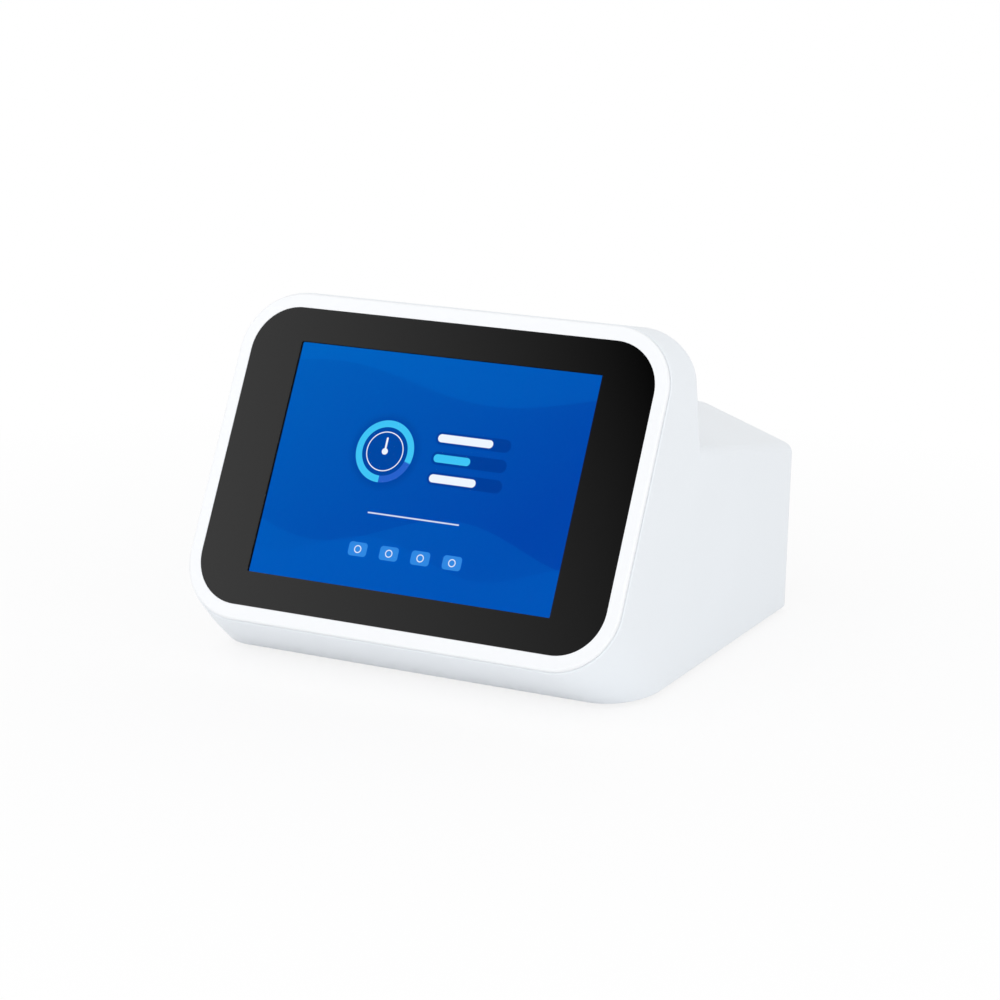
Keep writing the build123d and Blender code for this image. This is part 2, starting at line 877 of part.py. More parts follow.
def inlet_blades(low, high):
    """The three contacts of the mains inlet."""
    places = ((-inlet_pin_u, -inlet_pin_v), (inlet_pin_u, -inlet_pin_v), (0, inlet_pin_v))
    half_w, half_h = inlet_pin_w / 2, inlet_pin_h / 2
    return [block(inlet_u + x - half_w, inlet_u + x + half_w, inlet_v + socket_v + y - half_h,
                  inlet_v + socket_v + y + half_h, low, high) for x, y in places]


def inlet_housing():
    """The moulded module that holds the inlet socket, the fuse drawer and the rocker."""
    top = inlet_flange_t
    body = slab(inlet_flange_w, inlet_flange_h, 3, 0, top)
    body += slab(inlet_body_w, inlet_body_h, 2, -inlet_body_d, 0)
    w, h, c = socket_w / 2, socket_h / 2, socket_corner
    mouth_line = Polyline((-w, -h), (w, -h), (w, h - c), (w - c, h), (-w + c, h), (-w, h - c), close=True)
    body -= Pos(0, socket_v, top - socket_d) * extrude(make_face(mouth_line), socket_d + 1)
    channel_w, channel_h = drawer_w / 2 + drawer_fit, drawer_h / 2 + drawer_fit
    body -= block(-channel_w, channel_w, drawer_v - channel_h, drawer_v + channel_h,
                  top - drawer_d - 0.3, top + 1)
    room_w, room_h = rocker_w / 2 + rocker_fit, rocker_h / 2 + rocker_side_fit
    body -= block(-room_w, room_w, rocker_v - room_h, rocker_v + room_h,
                  rocker_pivot_w - rocker_room_d, top + 1)
    pin_half = rocker_h / 2 + rocker_pin_len + 0.2
    pin_hole = Rot(90, 0, 0) * Cylinder(rocker_pin_r + rocker_pin_fit, 2 * pin_half)
    body -= Pos(0, rocker_v, rocker_pivot_w) * pin_hole
    body = Pos(inlet_u, inlet_v, 0) * body
    for blade in inlet_blades(-inlet_body_d, top - socket_d + 1):
        body -= blade
    return rear * body


def inlet_pins():
    top = inlet_flange_t - socket_d + inlet_pin_d
    return [rear * blade for blade in inlet_blades(-inlet_body_d - 4, top)]


def rocker():
    """The mains rocker, at rest tipped to off."""
    w, s = rocker_w / 2, rocker_shoulder
    side = Polyline((-w, -rocker_body_d), (w, -rocker_body_d), (w, s), (0, rocker_crown), (-w, s),
                    close=True)
    body = Rot(90, 0, 0) * extrude(make_face(side), rocker_h / 2, both=True)
    body += Rot(90, 0, 0) * Cylinder(rocker_pin_r, rocker_h + 2 * rocker_pin_len)
    return rear * Pos(inlet_u, inlet_v + rocker_v, rocker_pivot_w) * Rot(0, -rocker_throw, 0) * body


def fuse_drawer():
    """A drawer with two troughs for fuses, behind its face."""
    top = inlet_flange_t
    body = block(-drawer_w / 2, drawer_w / 2, -drawer_h / 2, drawer_h / 2, top - drawer_d, top)
    body += slab(drawer_face_w, drawer_face_h, 1.2, top, top + drawer_face_t)
    body -= block(-3, 3, drawer_face_h / 2 - 1.2, drawer_face_h / 2 + 1, top + drawer_face_t - 0.9, top + 9)
    for u in (-fuse_u, fuse_u):
        r = fuse_r + fuse_fit
        body -= rod(r, top - drawer_d + 1.5, top - 1, u, 0)
        body -= block(u - r, u + r, 0, drawer_h, top - drawer_d + 1.5, top - 1)
    return rear * Pos(inlet_u, inlet_v + drawer_v, 0) * body


def fuses():
    low = inlet_flange_t - drawer_d + 1.5 + fuse_fit
    one = rod(fuse_r, low, low + fuse_len)
    return [rear * Pos(inlet_u + u, inlet_v + drawer_v, 0) * one for u in (-fuse_u, fuse_u)]


def usb_sockets():
    """Two stacked sockets in one shell, each with its tongue."""
    shell = block(-usb_w / 2, usb_w / 2, 0, usb_h, socket_out - usb_d, socket_out)
    for y in (usb_hole_v, usb_h - usb_hole_v):
        shell -= block(-usb_hole_w / 2, usb_hole_w / 2, y - usb_hole_h / 2, y + usb_hole_h / 2,
                       socket_out - 12, 9)
        shell += block(-usb_hole_w / 2 + 1, usb_hole_w / 2 - 1, y + 0.5, y + 0.5 + usb_tongue_t,
                       socket_out - 13, socket_out - 1)
    return rear * Pos(usb_u, io_board_v, 0) * shell


def lan_socket():
    shell = block(-lan_w / 2, lan_w / 2, 0, lan_h, socket_out - lan_d, socket_out)
    low = 1.6 + lan_notch_h
    shell -= block(-lan_hole_w / 2, lan_hole_w / 2, low, low + lan_hole_h, socket_out - lan_hole_d, 9)
    shell -= block(-lan_notch_w / 2, lan_notch_w / 2, 1.6, low + 1, socket_out - lan_hole_d + 4, 9)
    return rear * Pos(lan_u, io_board_v, 0) * shell


def serial_socket():
    """A nine-pin plug in a D-shaped shell, with its two hexagonal posts."""
    mid = serial_h / 2
    body = slab(serial_flange_w, serial_h, 1.5, -panel_t - 1, -panel_t, y=mid)
    body += block(-serial_shell_w / 2 - 1, serial_shell_w / 2 + 1, 0, serial_h,
                  -panel_t - serial_d, -panel_t)
    w, h = serial_shell_w / 2, serial_shell_h / 2
    for grow, sign in ((0, 1), (-0.6, -1)):
        line = Polyline((-w + 1.3 - grow, -h - grow), (w - 1.3 + grow, -h - grow), (w + grow, h + grow),
                        (-w - grow, h + grow), close=True)
        if sign > 0:
            body += Pos(0, mid, -panel_t) * extrude(make_face(line), panel_t + serial_shell_out)
        else:
            body -= Pos(0, mid, 0.5) * extrude(make_face(line), serial_shell_out + 1)
    for i in range(5):
        body += rod(0.5, 0, serial_shell_out - 1, (i - 2) * 2.77, mid + 1.42)
    for i in range(4):
        body += rod(0.5, 0, serial_shell_out - 1, (i - 1.5) * 2.77, mid - 1.42)
    for side in (-1, 1):
        body += rod(1.5, -panel_t - 0.5, 0.5, side * serial_stud_u, mid)
        post = extrude(RegularPolygon(2.4, 6, major_radius=False), 4.5)
        body += Pos(side * serial_stud_u, mid, 0) * post
    return rear * Pos(serial_u, io_board_v, 0) * body


def io_board():
    """The board that carries the data sockets."""
    z = bay_z + io_board_v
    y1 = panel_y - panel_t - io_board_gap
    x0, x1 = -io_board_u - io_board_w / 2, -io_board_u + io_board_w / 2
    board = block(x0, x1, io_board_low_y, y1, z - board_t, z)
    board += block(x0 + 8, x0 + 26, io_board_low_y + 8, io_board_low_y + 26, z, z + 1.6)
    board += block(x0 + 34, x0 + 42, io_board_low_y + 4, io_board_low_y + 26, z, z + 6)
    for i in range(4):
        board += rod(3, z, z + 8, x0 + 52 + i * 9, io_board_low_y + 12)
    return board


def fan_frame():
    """A square fan frame with a hub held on three arms, and the axle on the hub."""
    front, back = -panel_t, -panel_t - fan_d
    frame = slab(fan_w, fan_w, fan_corner_r, back, front)
    frame -= rod(fan_bore_r, back - 1, front + 1)
    for i in range(3):
        arm = block(0, fan_bore_r + 1, -fan_arm_w / 2, fan_arm_w / 2, back, back + fan_arm_t)
        frame += Rot(0, 0, 90 + 120 * i) * arm
    frame += rod(fan_hub_r, back, back + fan_arm_t)
    frame += rod(fan_axle_r, back, back + fan_arm_t + fan_axle_len)
    half = fan_screw_pitch / 2
    for x in (-half, half):
        for y in (-half, half):
            frame -= rod(screw_r + screw_fit, back - 1, front + 1, x, y)
    return rear * Pos(fan_u, fan_v, 0) * frame


def fan_rotor():
    """The hub and its pitched blades."""
    low = -panel_t - fan_d + fan_arm_t + 0.2
    tip_r = fan_bore_r - fan_tip_gap
    hub = rod(fan_hub_r, 0, fan_rotor_d)
    blades = hub
    for i in range(fan_blades):
        blade = Rot(fan_blade_pitch, 0, 0) * Box(tip_r, fan_blade_t, fan_rotor_d * 1.1)
        blades += Rot(0, 0, 360 / fan_blades * i) * Pos(tip_r / 2 + 1.5, 0, fan_rotor_d / 2) * blade
    rotor = blades & rod(tip_r, 0.2, fan_rotor_d - 0.2)
    rotor = rotor + hub - rod(fan_axle_r + fan_axle_fit, -1, fan_axle_len + 0.2)
    return rear * Pos(fan_u, fan_v, low) * rotor


def supply_nipple():
    """The quick-connect plug for the gas supply: flange, plug with its locking groove, bore and barb."""
    top = port_flange_t + nipple_len
    groove = port_flange_t + nipple_groove_at
    plug = turned((nipple_bore_r, -port_tail), (barb_r, -port_tail), (barb_r, -port_thread_len),
                  (port_thread_r, -port_thread_len), (port_thread_r, 0), (port_flange_r, 0),
                  (port_flange_r, port_flange_t), (nipple_r, port_flange_t), (nipple_r, groove),
                  (nipple_groove_r, groove + 0.7), (nipple_groove_r, groove + 2.3), (nipple_r, groove + 3),
                  (nipple_r, top - 1), (nipple_r - 1, top), (nipple_bore_r, top))
    return rear * Pos(supply_u, port_v, 0) * plug


def test_port_body():
    """The quick coupling that feeds the filter under test."""
    top = port_flange_t + test_body_len
    sleeve_stop = port_flange_t + sleeve_travel + sleeve_len + 0.4
    body = turned((nipple_bore_r, -port_tail), (barb_r, -port_tail), (barb_r, -port_thread_len),
                  (port_thread_r, -port_thread_len), (port_thread_r, 0), (port_flange_r, 0),
                  (port_flange_r, port_flange_t), (test_body_r, port_flange_t), (test_body_r, sleeve_stop),
                  (test_body_r + sleeve_lip_h, sleeve_stop),
                  (test_body_r + sleeve_lip_h, sleeve_stop + sleeve_lip_t),
                  (test_body_r, top), (test_bore_r, top), (test_bore_r, top - test_bore_d),
                  (nipple_bore_r, top - test_bore_d))
    return rear * Pos(test_u, port_v, 0) * body


def port_sleeve():
    """The release sleeve, at rest against the body's lip, with three grip grooves."""
    low = port_flange_t + sleeve_travel + 0.3
    sleeve = rod(sleeve_r, low, low + sleeve_len)
    sleeve -= rod(test_body_r + sleeve_fit, low - 1, low + sleeve_len + 1)
    for i in range(3):
        z = low + 2.0 + i * 2.2
        sleeve -= rod(sleeve_r + 1, z, z + 0.9) - rod(sleeve_r - 0.6, z - 1, z + 2)
    return rear * Pos(test_u, port_v, 0) * sleeve


def exhaust_silencer():
    """A sintered silencer on the exhaust."""
    top = port_flange_t + silencer_len
    body = turned((nipple_bore_r, -port_tail), (barb_r, -port_tail), (barb_r, -port_thread_len),
                  (port_thread_r, -port_thread_len), (port_thread_r, 0), (port_flange_r, 0),
                  (port_flange_r, port_flange_t), (silencer_r, port_flange_t), (silencer_r, top - 4),
                  (silencer_r - 1.2, top - 1.4), (silencer_r - 3.4, top), (0, top), (0, top - 3),
                  (nipple_bore_r, top - 3))
    return rear * Pos(exhaust_u, port_v, 0) * body


def port_nuts():
    nut = extrude(RegularPolygon(nut_flat / 2, 6, major_radius=False), nut_t)
    nut -= rod(port_thread_r, -1, nut_t + 1)
    return [rear * Pos(u, port_v, -panel_t - nut_t) * nut for u in (supply_u, test_u, exhaust_u)]


# Gas group

def valve_xs():
    return [manifold_x + (i - 1) * valve_pitch for i in range(3)]


manifold_top = base_top + manifold_h
manifold_back = manifold_y + manifold_d / 2
manifold_front = manifold_y - manifold_d / 2
regulator_x = manifold_x - manifold_w / 2 - regulator_w / 2


def along_y(radius, y0, y1, x, z):
    """A cylinder along y."""
    return Pos(x, (y0 + y1) / 2, z) * Rot(90, 0, 0) * Cylinder(radius, y1 - y0)


def manifold_block():
    """The drilled block that joins the valves, sensors and tubes."""
    body = block(manifold_x - manifold_w / 2, manifold_x + manifold_w / 2, manifold_front, manifold_back,
                 base_top, manifold_top)
    body = chamfer(body.edges().filter_by(Axis.X), 1)
    for x, y0, y1 in ((-test_u, manifold_back, manifold_back + collar_len),
                      (-exhaust_u, manifold_back, manifold_back + collar_len),
                      (tank_port_x, manifold_front - collar_len, manifold_front)):
        body += along_y(collar_r, y0 - 1, y1 + 1, x, base_top + tube_port_z)
    body &= block(-side_x, side_x, manifold_front - collar_len, manifold_back + collar_len,
                  0, 2 * manifold_top)
    for x, y0, y1 in ((-test_u, manifold_back, manifold_back + 9),
                      (-exhaust_u, manifold_back, manifold_back + 9),
                      (tank_port_x, manifold_front - 9, manifold_front)):
        body -= along_y(tube_r + tube_fit, y0, y1, x, base_top + tube_port_z)
    for x in valve_xs():
        body -= rod(1.2, manifold_top - 12, manifold_top + 1, x, manifold_y)
    return body


def solenoid_coils():
    """Three moulded coils, each with the tube that its plunger runs in."""
    coil = slab(valve_w, valve_d, 2.5, 0, valve_h) + rod(6, valve_h, valve_h + 3)
    coil -= rod(plunger_r + plunger_fit, -1, plunger_bore_h)
    return [Pos(x, manifold_y, manifold_top) * coil for x in valve_xs()]


def valve_plunger(x):
    low = manifold_top + plunger_rest_gap
    plunger = rod(plunger_r, low, low + plunger_len, x, manifold_y)
    return plunger - rod(1.5, low + plunger_len - 6, low + plunger_len + 1, x, manifold_y)


def pressure_sensors():
    """Two transducers on the front of the block."""
    found = []
    for x in (valve_xs()[0], valve_xs()[2]):
        body = turned((0, 0), (6, 0), (6, 3), (sensor_r, 3), (sensor_r, sensor_len - 2),
                      (sensor_r - 2, sensor_len), (0, sensor_len))
        found.append(Pos(x, manifold_front, base_top + sensor_z) * Rot(90, 0, 0) * body)
    return found


def pressure_regulator():
    """The proportional regulator at the end of the block."""
    half = regulator_w / 2
    body = block(regulator_x - half, regulator_x + half, manifold_y - half, manifold_y + half,
                 base_top, base_top + regulator_w)
    bonnet = turned((0, 0), (regulator_bonnet_r, 0), (regulator_bonnet_r, 12), (regulator_bonnet_r - 3, 15),
                    (regulator_bonnet_r - 3, regulator_bonnet_h - 1.5),
                    (regulator_bonnet_r - 4.5, regulator_bonnet_h), (0, regulator_bonnet_h))
    body += Pos(regulator_x, manifold_y, base_top + regulator_w) * bonnet
    return body


def buffer_tank():
    """The reference vessel, with its port at the back."""
    vessel = tank_form(0)
    port_end = tank_y + tank_r + tank_boss_h
    vessel += along_y(tank_boss_r, tank_y + tank_r - 3, port_end, tank_port_x, tank_z)
    vessel -= tank_form(tank_wall)
    vessel -= along_y(nipple_bore_r, tank_y, port_end, tank_port_x, tank_z)
    return vessel - along_y(tube_r + tube_fit, port_end - 3, port_end + 1, tank_port_x, tank_z)


def tank_form(inset):
    """The vessel's domed form, moved inwards by inset."""
    form = Rot(0, 90, 0) * Cylinder(tank_r - inset, tank_len - 2 * inset)
    form = fillet(form.edges().filter_by(GeomType.CIRCLE), tank_dome - inset)
    return Pos(0, tank_y, tank_z) * form


def tank_bands():
    """Two saddles with the bands that hold the tank down."""
    found = []
    for x in (-band_x, band_x):
        saddle = block(x - band_w / 2, x + band_w / 2, tank_y - band_foot_w / 2, tank_y + band_foot_w / 2,
                       base_top, tank_z)
        saddle += cross_rod(tank_r + band_t, x - band_w / 2, x + band_w / 2, tank_y, tank_z)
        saddle -= cross_rod(tank_r + band_fit, x - band_w, x + band_w, tank_y, tank_z)
        found.append(saddle)
    return found


def tube_along(*points):
    """A tube along straight runs joined by arcs."""
    runs = [Vector(*b) - Vector(*a) for a, b in zip(points, points[1:])]
    radii = []
    for a, b in zip(runs, runs[1:]):
        half_turn = radians(a.get_angle(b) / 2)
        radii.append(0.45 * min(a.length, b.length) / tan(half_turn))
    path = FilletPolyline(*points, radius=radii)
    section = Plane(origin=points[0], z_dir=runs[0]) * Circle(tube_r)
    return sweep(section, path=path)


def gas_tubes():
    """Tubes from the three ports to the regulator and the block, and one to the tank."""
    port_y = panel_y - port_tail
    port_z = bay_z + port_v
    low_z = base_top + tube_port_z
    found = []
    for u, x, y in ((supply_u, regulator_x, manifold_y + regulator_w / 2), (test_u, -test_u, manifold_back),
                    (exhaust_u, -exhaust_u, manifold_back)):
        found.append(tube_along((-u, port_y, port_z), (-u, port_y - tube_straight, port_z),
                                (x, y + tube_straight, low_z), (x, y, low_z)))
    tank_out = tank_y + tank_r + tank_boss_h - 3
    found.append(tube_along((tank_port_x, tank_out, tank_z),
                            (tank_port_x, tank_out + tube_straight, tank_z),
                            (tank_port_x, manifold_front - tube_straight, low_z),
                            (tank_port_x, manifold_front, low_z)))
    return found


# Power supply

def power_cage():
    """A folded cage with a slotted top, open at its back end."""
    x0, x1 = cage_x - cage_w / 2, cage_x + cage_w / 2
    y0, y1 = cage_y - cage_d / 2, cage_y + cage_d / 2
    z1 = base_top + cage_h
    cage = block(x0, x1, y0, y1, base_top, z1)
    cage -= block(x0 + cage_t, x1 - cage_t, y0 + cage_t, y1 + 1, base_top + cage_t, z1 - cage_t)
    for i in range(cage_slots):
        y = cage_y + (i - (cage_slots - 1) / 2) * cage_slot_pitch
        cage -= slab(cage_slot_len, cage_slot_w, cage_slot_w / 2 - 0.01, z1 - 5, z1 + 1, x=cage_x, y=y)
    for x, y in cage_stud_places():
        cage += rod(cage_stud_r, base_top + cage_t, base_top + cage_t + cage_stud_h, x, y)
    return cage


def cage_stud_places():
    x, y = cage_w / 2 - 8, cage_d / 2 - 8
    return [(cage_x + i * x, cage_y + j * y) for i in (-1, 1) for j in (-1, 1)]


def power_board():
    """The supply's board with transformer, capacitors, cooler and terminals."""
    z = base_top + cage_t + cage_stud_h
    half_w, half_d = cage_w / 2 - power_board_inset, cage_d / 2 - power_board_inset
    top = z + board_t
    board = block(-half_w, half_w, -half_d, half_d, z, top)
    board += block(-10, 14, -12, 12, top, top + 20)
    board += block(-7, 11, -15, 15, top + 3, top + 17)
    for x, y, r, h in ((-17, -26, 8, 22), (0, -29, 5, 16), (14, -29, 5, 16), (-19, 12, 4, 12)):
        board += rod(r, top, top + h, x, y)
    board += block(20, 23, -20, 18, top, top + 24)
    board += block(-22, 22, half_d - 12, half_d - 2, top, top + 10)
    return Pos(cage_x, cage_y, 0) * board


# Printer

def gear(teeth, angle):
    """A spur gear on the z axis with one tooth centred at angle, its flanks true involutes."""
    pitch_r = gear_module * teeth / 2
    root_r, tip_r = pitch_r - 1.2 * gear_module, pitch_r + gear_module
    base_r = pitch_r * cos(radians(20))
    half_tooth = pi / (2 * teeth) - gear_backlash / (2 * pitch_r) + involute(base_r, pitch_r)
    line = []
    for i in range(teeth):
        mid = radians(angle) + 2 * pi * i / teeth
        flank = []
        for r in (max(base_r, root_r), pitch_r, tip_r):
            flank.append((r, half_tooth - involute(base_r, r)))
        if root_r < base_r:
            flank.insert(0, (root_r, half_tooth))
        for r, a in flank:
            line.append((r * cos(mid - a), r * sin(mid - a)))
        for r, a in reversed(flank):
            line.append((r * cos(mid + a), r * sin(mid + a)))
    return extrude(make_face(Polyline(*line, close=True)), gear_t)


def involute(base_r, r):
    """The involute's angle at radius r."""
    if r <= base_r:
        return 0.0
    a = (r * r / base_r ** 2 - 1) ** 0.5
    return a - atan2(a, 1)


def mesh_angle(teeth, angle, next_teeth, direction):
    """The tooth angle of a gear that meshes with another one, which lies at direction from it."""
    offset = (angle - direction) % (360 / teeth)
    return direction + 180 - offset * teeth / next_teeth + 180 / next_teeth


def on_x(shape, x, y, z):
    """Stand a shape drawn on the z axis along x in the printer."""
    return deck * Plane(origin=(x, y, z), x_dir=(0, 1, 0), z_dir=(1, 0, 0)) * shape


platen_angle = -90.0
idler_angle = mesh_angle(platen_teeth, platen_angle, idler_teeth, -90.0)
pinion_angle = mesh_angle(idler_teeth, idler_angle, pinion_teeth, pinion_direction)


def keys():
    """Each key: middle x, width and height."""
    return ((release_x, release_w, release_h), (feed_x, feed_w, feed_h))


def printer_bezel():
    """The printer's frame on the deck, with its window, key holes and hinge lugs."""
    middle = (bezel_low_y + bezel_high_y) / 2
    frame = slab(bezel_w, bezel_high_y - bezel_low_y, bezel_r, -bezel_set, bezel_top, y=middle)
    rim = frame.faces().sort_by(Axis.Z)[-1].outer_wire().edges()
    frame = fillet(rim, 1.0)
    frame -= block(-window_half_w, window_half_w, window_low_y, window_high_y, -9, 9)
    for x, width, height in keys():
        frame -= slab(width + 2 * key_fit, height + 2 * key_fit, 2 + key_fit, -9, 9, x=x, y=key_y)
    for side in (-1, 1):
        x0 = side * (barrel_half_w + lug_gap)
        x1 = x0 + side * lug_t
        low, high = min(x0, x1), max(x0, x1)
        lug = cross_rod(barrel_r, low, high, hinge_y, hinge_z)
        lug += block(low, high, hinge_y - barrel_r, window_high_y + 1, -bezel_set, hinge_z)
        edge = side * (window_half_w + 1)
        lug += block(min(x0, edge), max(x0, edge), hinge_y, window_high_y + 1, -bezel_set, 0)
        frame += lug
    frame -= cross_rod(hinge_pin_r, -window_half_w, window_half_w, hinge_y, hinge_z)
    return deck * frame


def lid_hinge_pin():
    half = barrel_half_w + lug_gap + lug_t
    return deck * cross_rod(hinge_pin_r, -half, half, hinge_y, hinge_z)


def printer_lid():
    """The lid: a plate with a finger lip, its hinge barrel, and two ears that carry the platen."""
    rear_end = hinge_y - barrel_r - 0.4
    plate = block(-lid_half_w, lid_half_w, lid_front_y, rear_end, lid_low, lid_low + lid_t)
    plate = fillet(plate.edges().filter_by(Axis.X).group_by(Axis.Z)[-1], 0.8)
    plate += block(-barrel_half_w, barrel_half_w, rear_end - 1, hinge_y, lid_low, hinge_z + barrel_r - 0.6)
    plate += cross_rod(barrel_r, -barrel_half_w, barrel_half_w, hinge_y, hinge_z)
    plate += slab(26, 5, 2.4, lid_low + 1, lid_low + lid_t + 1.4, y=lid_front_y + 6)
    for side in (-1, 1):
        x0, x1 = sorted((side * cheek_x, side * (cheek_x + lid_ear_t)))
        ear = block(x0, x1, platen_y - 3.4, rear_end - 4, -lid_ear_depth, lid_low + 0.5)
        ear += block(x0, x1, platen_y - 3.4, platen_y + 3.4, platen_z, 0)
        ear += cross_rod(3.4, x0, x1, platen_y, platen_z)
        plate += ear
    plate -= cross_rod(shaft_r + shaft_fit, -40, 40, platen_y, platen_z)
    plate -= cross_rod(hinge_pin_r + hinge_fit, -40, 40, hinge_y, hinge_z)
    return deck * plate


def platen_shaft():
    end = gear_x + gear_t
    return deck * cross_rod(shaft_r, -cheek_x - lid_ear_t - 0.6, end, platen_y, platen_z)


def platen_rubber():
    roller = cross_rod(platen_r, -platen_half_w, platen_half_w, platen_y, platen_z)
    return deck * (roller - cross_rod(shaft_r, -40, 40, platen_y, platen_z))


def platen_gear():
    return on_x(gear(platen_teeth, platen_angle) - rod(shaft_r, -1, 9), gear_x, platen_y, platen_z)


def idler_gear():
    return on_x(gear(idler_teeth, idler_angle) - rod(shaft_r + shaft_fit, -1, 9), gear_x, idler_y, idler_z)


def motor_pinion():
    """The pinion on the motor's own shaft."""
    back = cheek_x - motor_len + 2 - gear_x
    return on_x(gear(pinion_teeth, pinion_angle) + rod(motor_shaft_r, back, 1), gear_x, pinion_y, pinion_z)


def feed_motor():
    can = cross_rod(motor_r, cheek_x - motor_len, cheek_x, pinion_y, pinion_z)
    can -= cross_rod(motor_shaft_r + shaft_fit, cheek_x - motor_len + 1, cheek_x + 1, pinion_y, pinion_z)
    return deck * can


def bucket_form(shrink, top):
    """The bucket's outer form, moved inwards by shrink, up to z = top."""
    half_w = bucket_half_w - shrink
    form = block(-half_w, half_w, bucket_low_y + shrink, bucket_high_y - shrink, bucket_floor + shrink, top)
    form += cross_rod(roll_r + roll_room + bucket_wall - shrink, -half_w, half_w, roll_y, roll_z)
    return form - block(-half_w - 1, half_w + 1, bucket_low_y, bucket_high_y, top, top + 40)


def printer_bucket():
    """The paper bucket: a round cradle for the roll between two cheeks, which carry the works."""
    bucket = bucket_form(0, -bezel_set)
    room = bucket_form(bucket_wall, 9)
    cheeks = [block(x, x + cheek_t, cheek_low_y, bucket_high_y, -60, cheek_top)
              for x in (-cheek_x - cheek_t, cheek_x)]
    bucket = bucket - room + (cheeks[0] & room) + (cheeks[1] & room)
    bucket -= cross_rod(head_pivot_r + shaft_fit, -cheek_x - cheek_t, cheek_x + cheek_t,
                        head_pivot_y, head_pivot_z)
    bucket -= cross_rod(motor_shaft_r + 1, cheek_x - 1, cheek_x + cheek_t + 1, pinion_y, pinion_z)
    bucket += cross_rod(shaft_r, cheek_x + 1, gear_x + gear_t + 0.6, idler_y, idler_z)
    return deck * bucket


def print_head():
    """The thermal head on its finned plate, with a pivot pin at each end."""
    plate = block(-head_half_w, head_half_w, head_face_y - head_t, head_face_y - head_chip_t,
                  head_low, head_high)
    chip_mid = platen_z
    plate += block(-head_half_w + 1, head_half_w - 1, head_face_y - head_chip_t, head_face_y,
                   chip_mid - head_chip_h / 2, chip_mid + head_chip_h / 2)
    for i in range(5):
        x = -24 + i * 12
        plate -= block(x - 2, x + 2, head_face_y - head_t - 1, head_face_y - head_t + 1.4,
                       head_low + 4, head_high + 1)
    plate += cross_rod(head_pivot_r, -cheek_x - cheek_t + 0.2, cheek_x + cheek_t - 0.2,
                       head_pivot_y, head_pivot_z)
    return deck * plate


def tear_bar():
    """A thin serrated strip that overhangs the window."""
    pitch = 2 * tear_half_w / tear_teeth
    line = [(-tear_half_w, tear_low_y), (tear_half_w, tear_low_y), (tear_half_w, tear_edge_y)]
    for i in range(tear_teeth):
        x = tear_half_w - i * pitch
        line.append((x - pitch / 2, tear_edge_y - tear_tooth))
        line.append((x - pitch, tear_edge_y))
    strip = Pos(0, 0, bezel_top) * extrude(make_face(Polyline(*line, close=True)), tear_t)
    return deck * strip


def roll_axis_z():
    """The roll lies on the bottom of its cradle."""
    return roll_z - roll_room + 0.3


def paper_roll():
    roll = cross_rod(roll_r, -roll_w / 2, roll_w / 2, roll_y, roll_axis_z())
    return deck * (roll - cross_rod(core_r, -40, 40, roll_y, roll_axis_z()))


def paper_core():
    core = cross_rod(core_r, -roll_w / 2, roll_w / 2, roll_y, roll_axis_z())
    return deck * (core - cross_rod(core_bore_r, -40, 40, roll_y, roll_axis_z()))


def printer_key(x, width, height):
    """A key with a flange under the frame, which stops it."""
    flange_top = -bezel_set - 0.05
    low = flange_top - key_flange_t
    cap = slab(width, height, 2, low, key_top, x=x, y=key_y)
    cap = fillet(cap.faces().sort_by(Axis.Z)[-1].outer_wire().edges(), 0.7)
    cap += slab(width + 2 * key_flange, height + 2 * key_flange, 2, low, flange_top, x=x, y=key_y)
    return deck * cap


# Every node

os.makedirs("parts", exist_ok=True)

save("housing", housing())
save("front_ring", front_ring())
save("cover_glass", cover_glass())
save("glass_tape", glass_tape())
save("lcd_panel", lcd_panel())
save("lcd_frame", lcd_frame())
save("display_bracket", display_bracket())
save("display_screws", *display_screws())
save("board_standoffs", *board_standoffs())
save("main_board", main_board())
save("base_plate", base_plate())
save("rubber_feet", *rubber_feet())
save("base_screws", *base_screws())
save("rear_tray", rear_tray())
save("rear_panel", rear_panel())
save("panel_screws", *panel_screws())
save("inlet_housing", inlet_housing())
save("inlet_pins", *inlet_pins())
save("rocker", rocker())
save("fuse_drawer", fuse_drawer())
save("fuses", *fuses())
save("usb_sockets", usb_sockets())
save("lan_socket", lan_socket())
save("serial_socket", serial_socket())
save("io_board", io_board())
save("fan_frame", fan_frame())
save("fan_rotor", fan_rotor())
save("supply_nipple", supply_nipple())
save("test_port_body", test_port_body())
save("port_sleeve", port_sleeve())
save("exhaust_silencer", exhaust_silencer())
save("port_nuts", *port_nuts())
save("manifold_block", manifold_block())
save("solenoid_coils", *solenoid_coils())
for number, place in enumerate(valve_xs(), 1):
    save(f"valve_plunger_{number}", valve_plunger(place))
save("pressure_sensors", *pressure_sensors())
save("pressure_regulator", pressure_regulator())
save("buffer_tank", buffer_tank())
save("tank_bands", *tank_bands())
save("gas_tubes", *gas_tubes())
save("power_cage", power_cage())
save("power_board", power_board())
save("printer_bezel", printer_bezel())
save("lid_hinge_pin", lid_hinge_pin())
save("printer_lid", printer_lid())
save("platen_shaft", platen_shaft())
save("platen_rubber", platen_rubber())
save("platen_gear", platen_gear())
save("idler_gear", idler_gear())
save("motor_pinion", motor_pinion())
save("feed_motor", feed_motor())
save("printer_bucket", printer_bucket())
save("print_head", print_head())
save("tear_bar", tear_bar())
save("paper_roll", paper_roll())
save("paper_core", paper_core())
save("release_button", printer_key(release_x, release_w, release_h))
save("feed_key", printer_key(feed_x, feed_w, feed_h))
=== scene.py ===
import json
from math import cos, pi, radians, sin

import bpy
from mathutils import Matrix, Vector


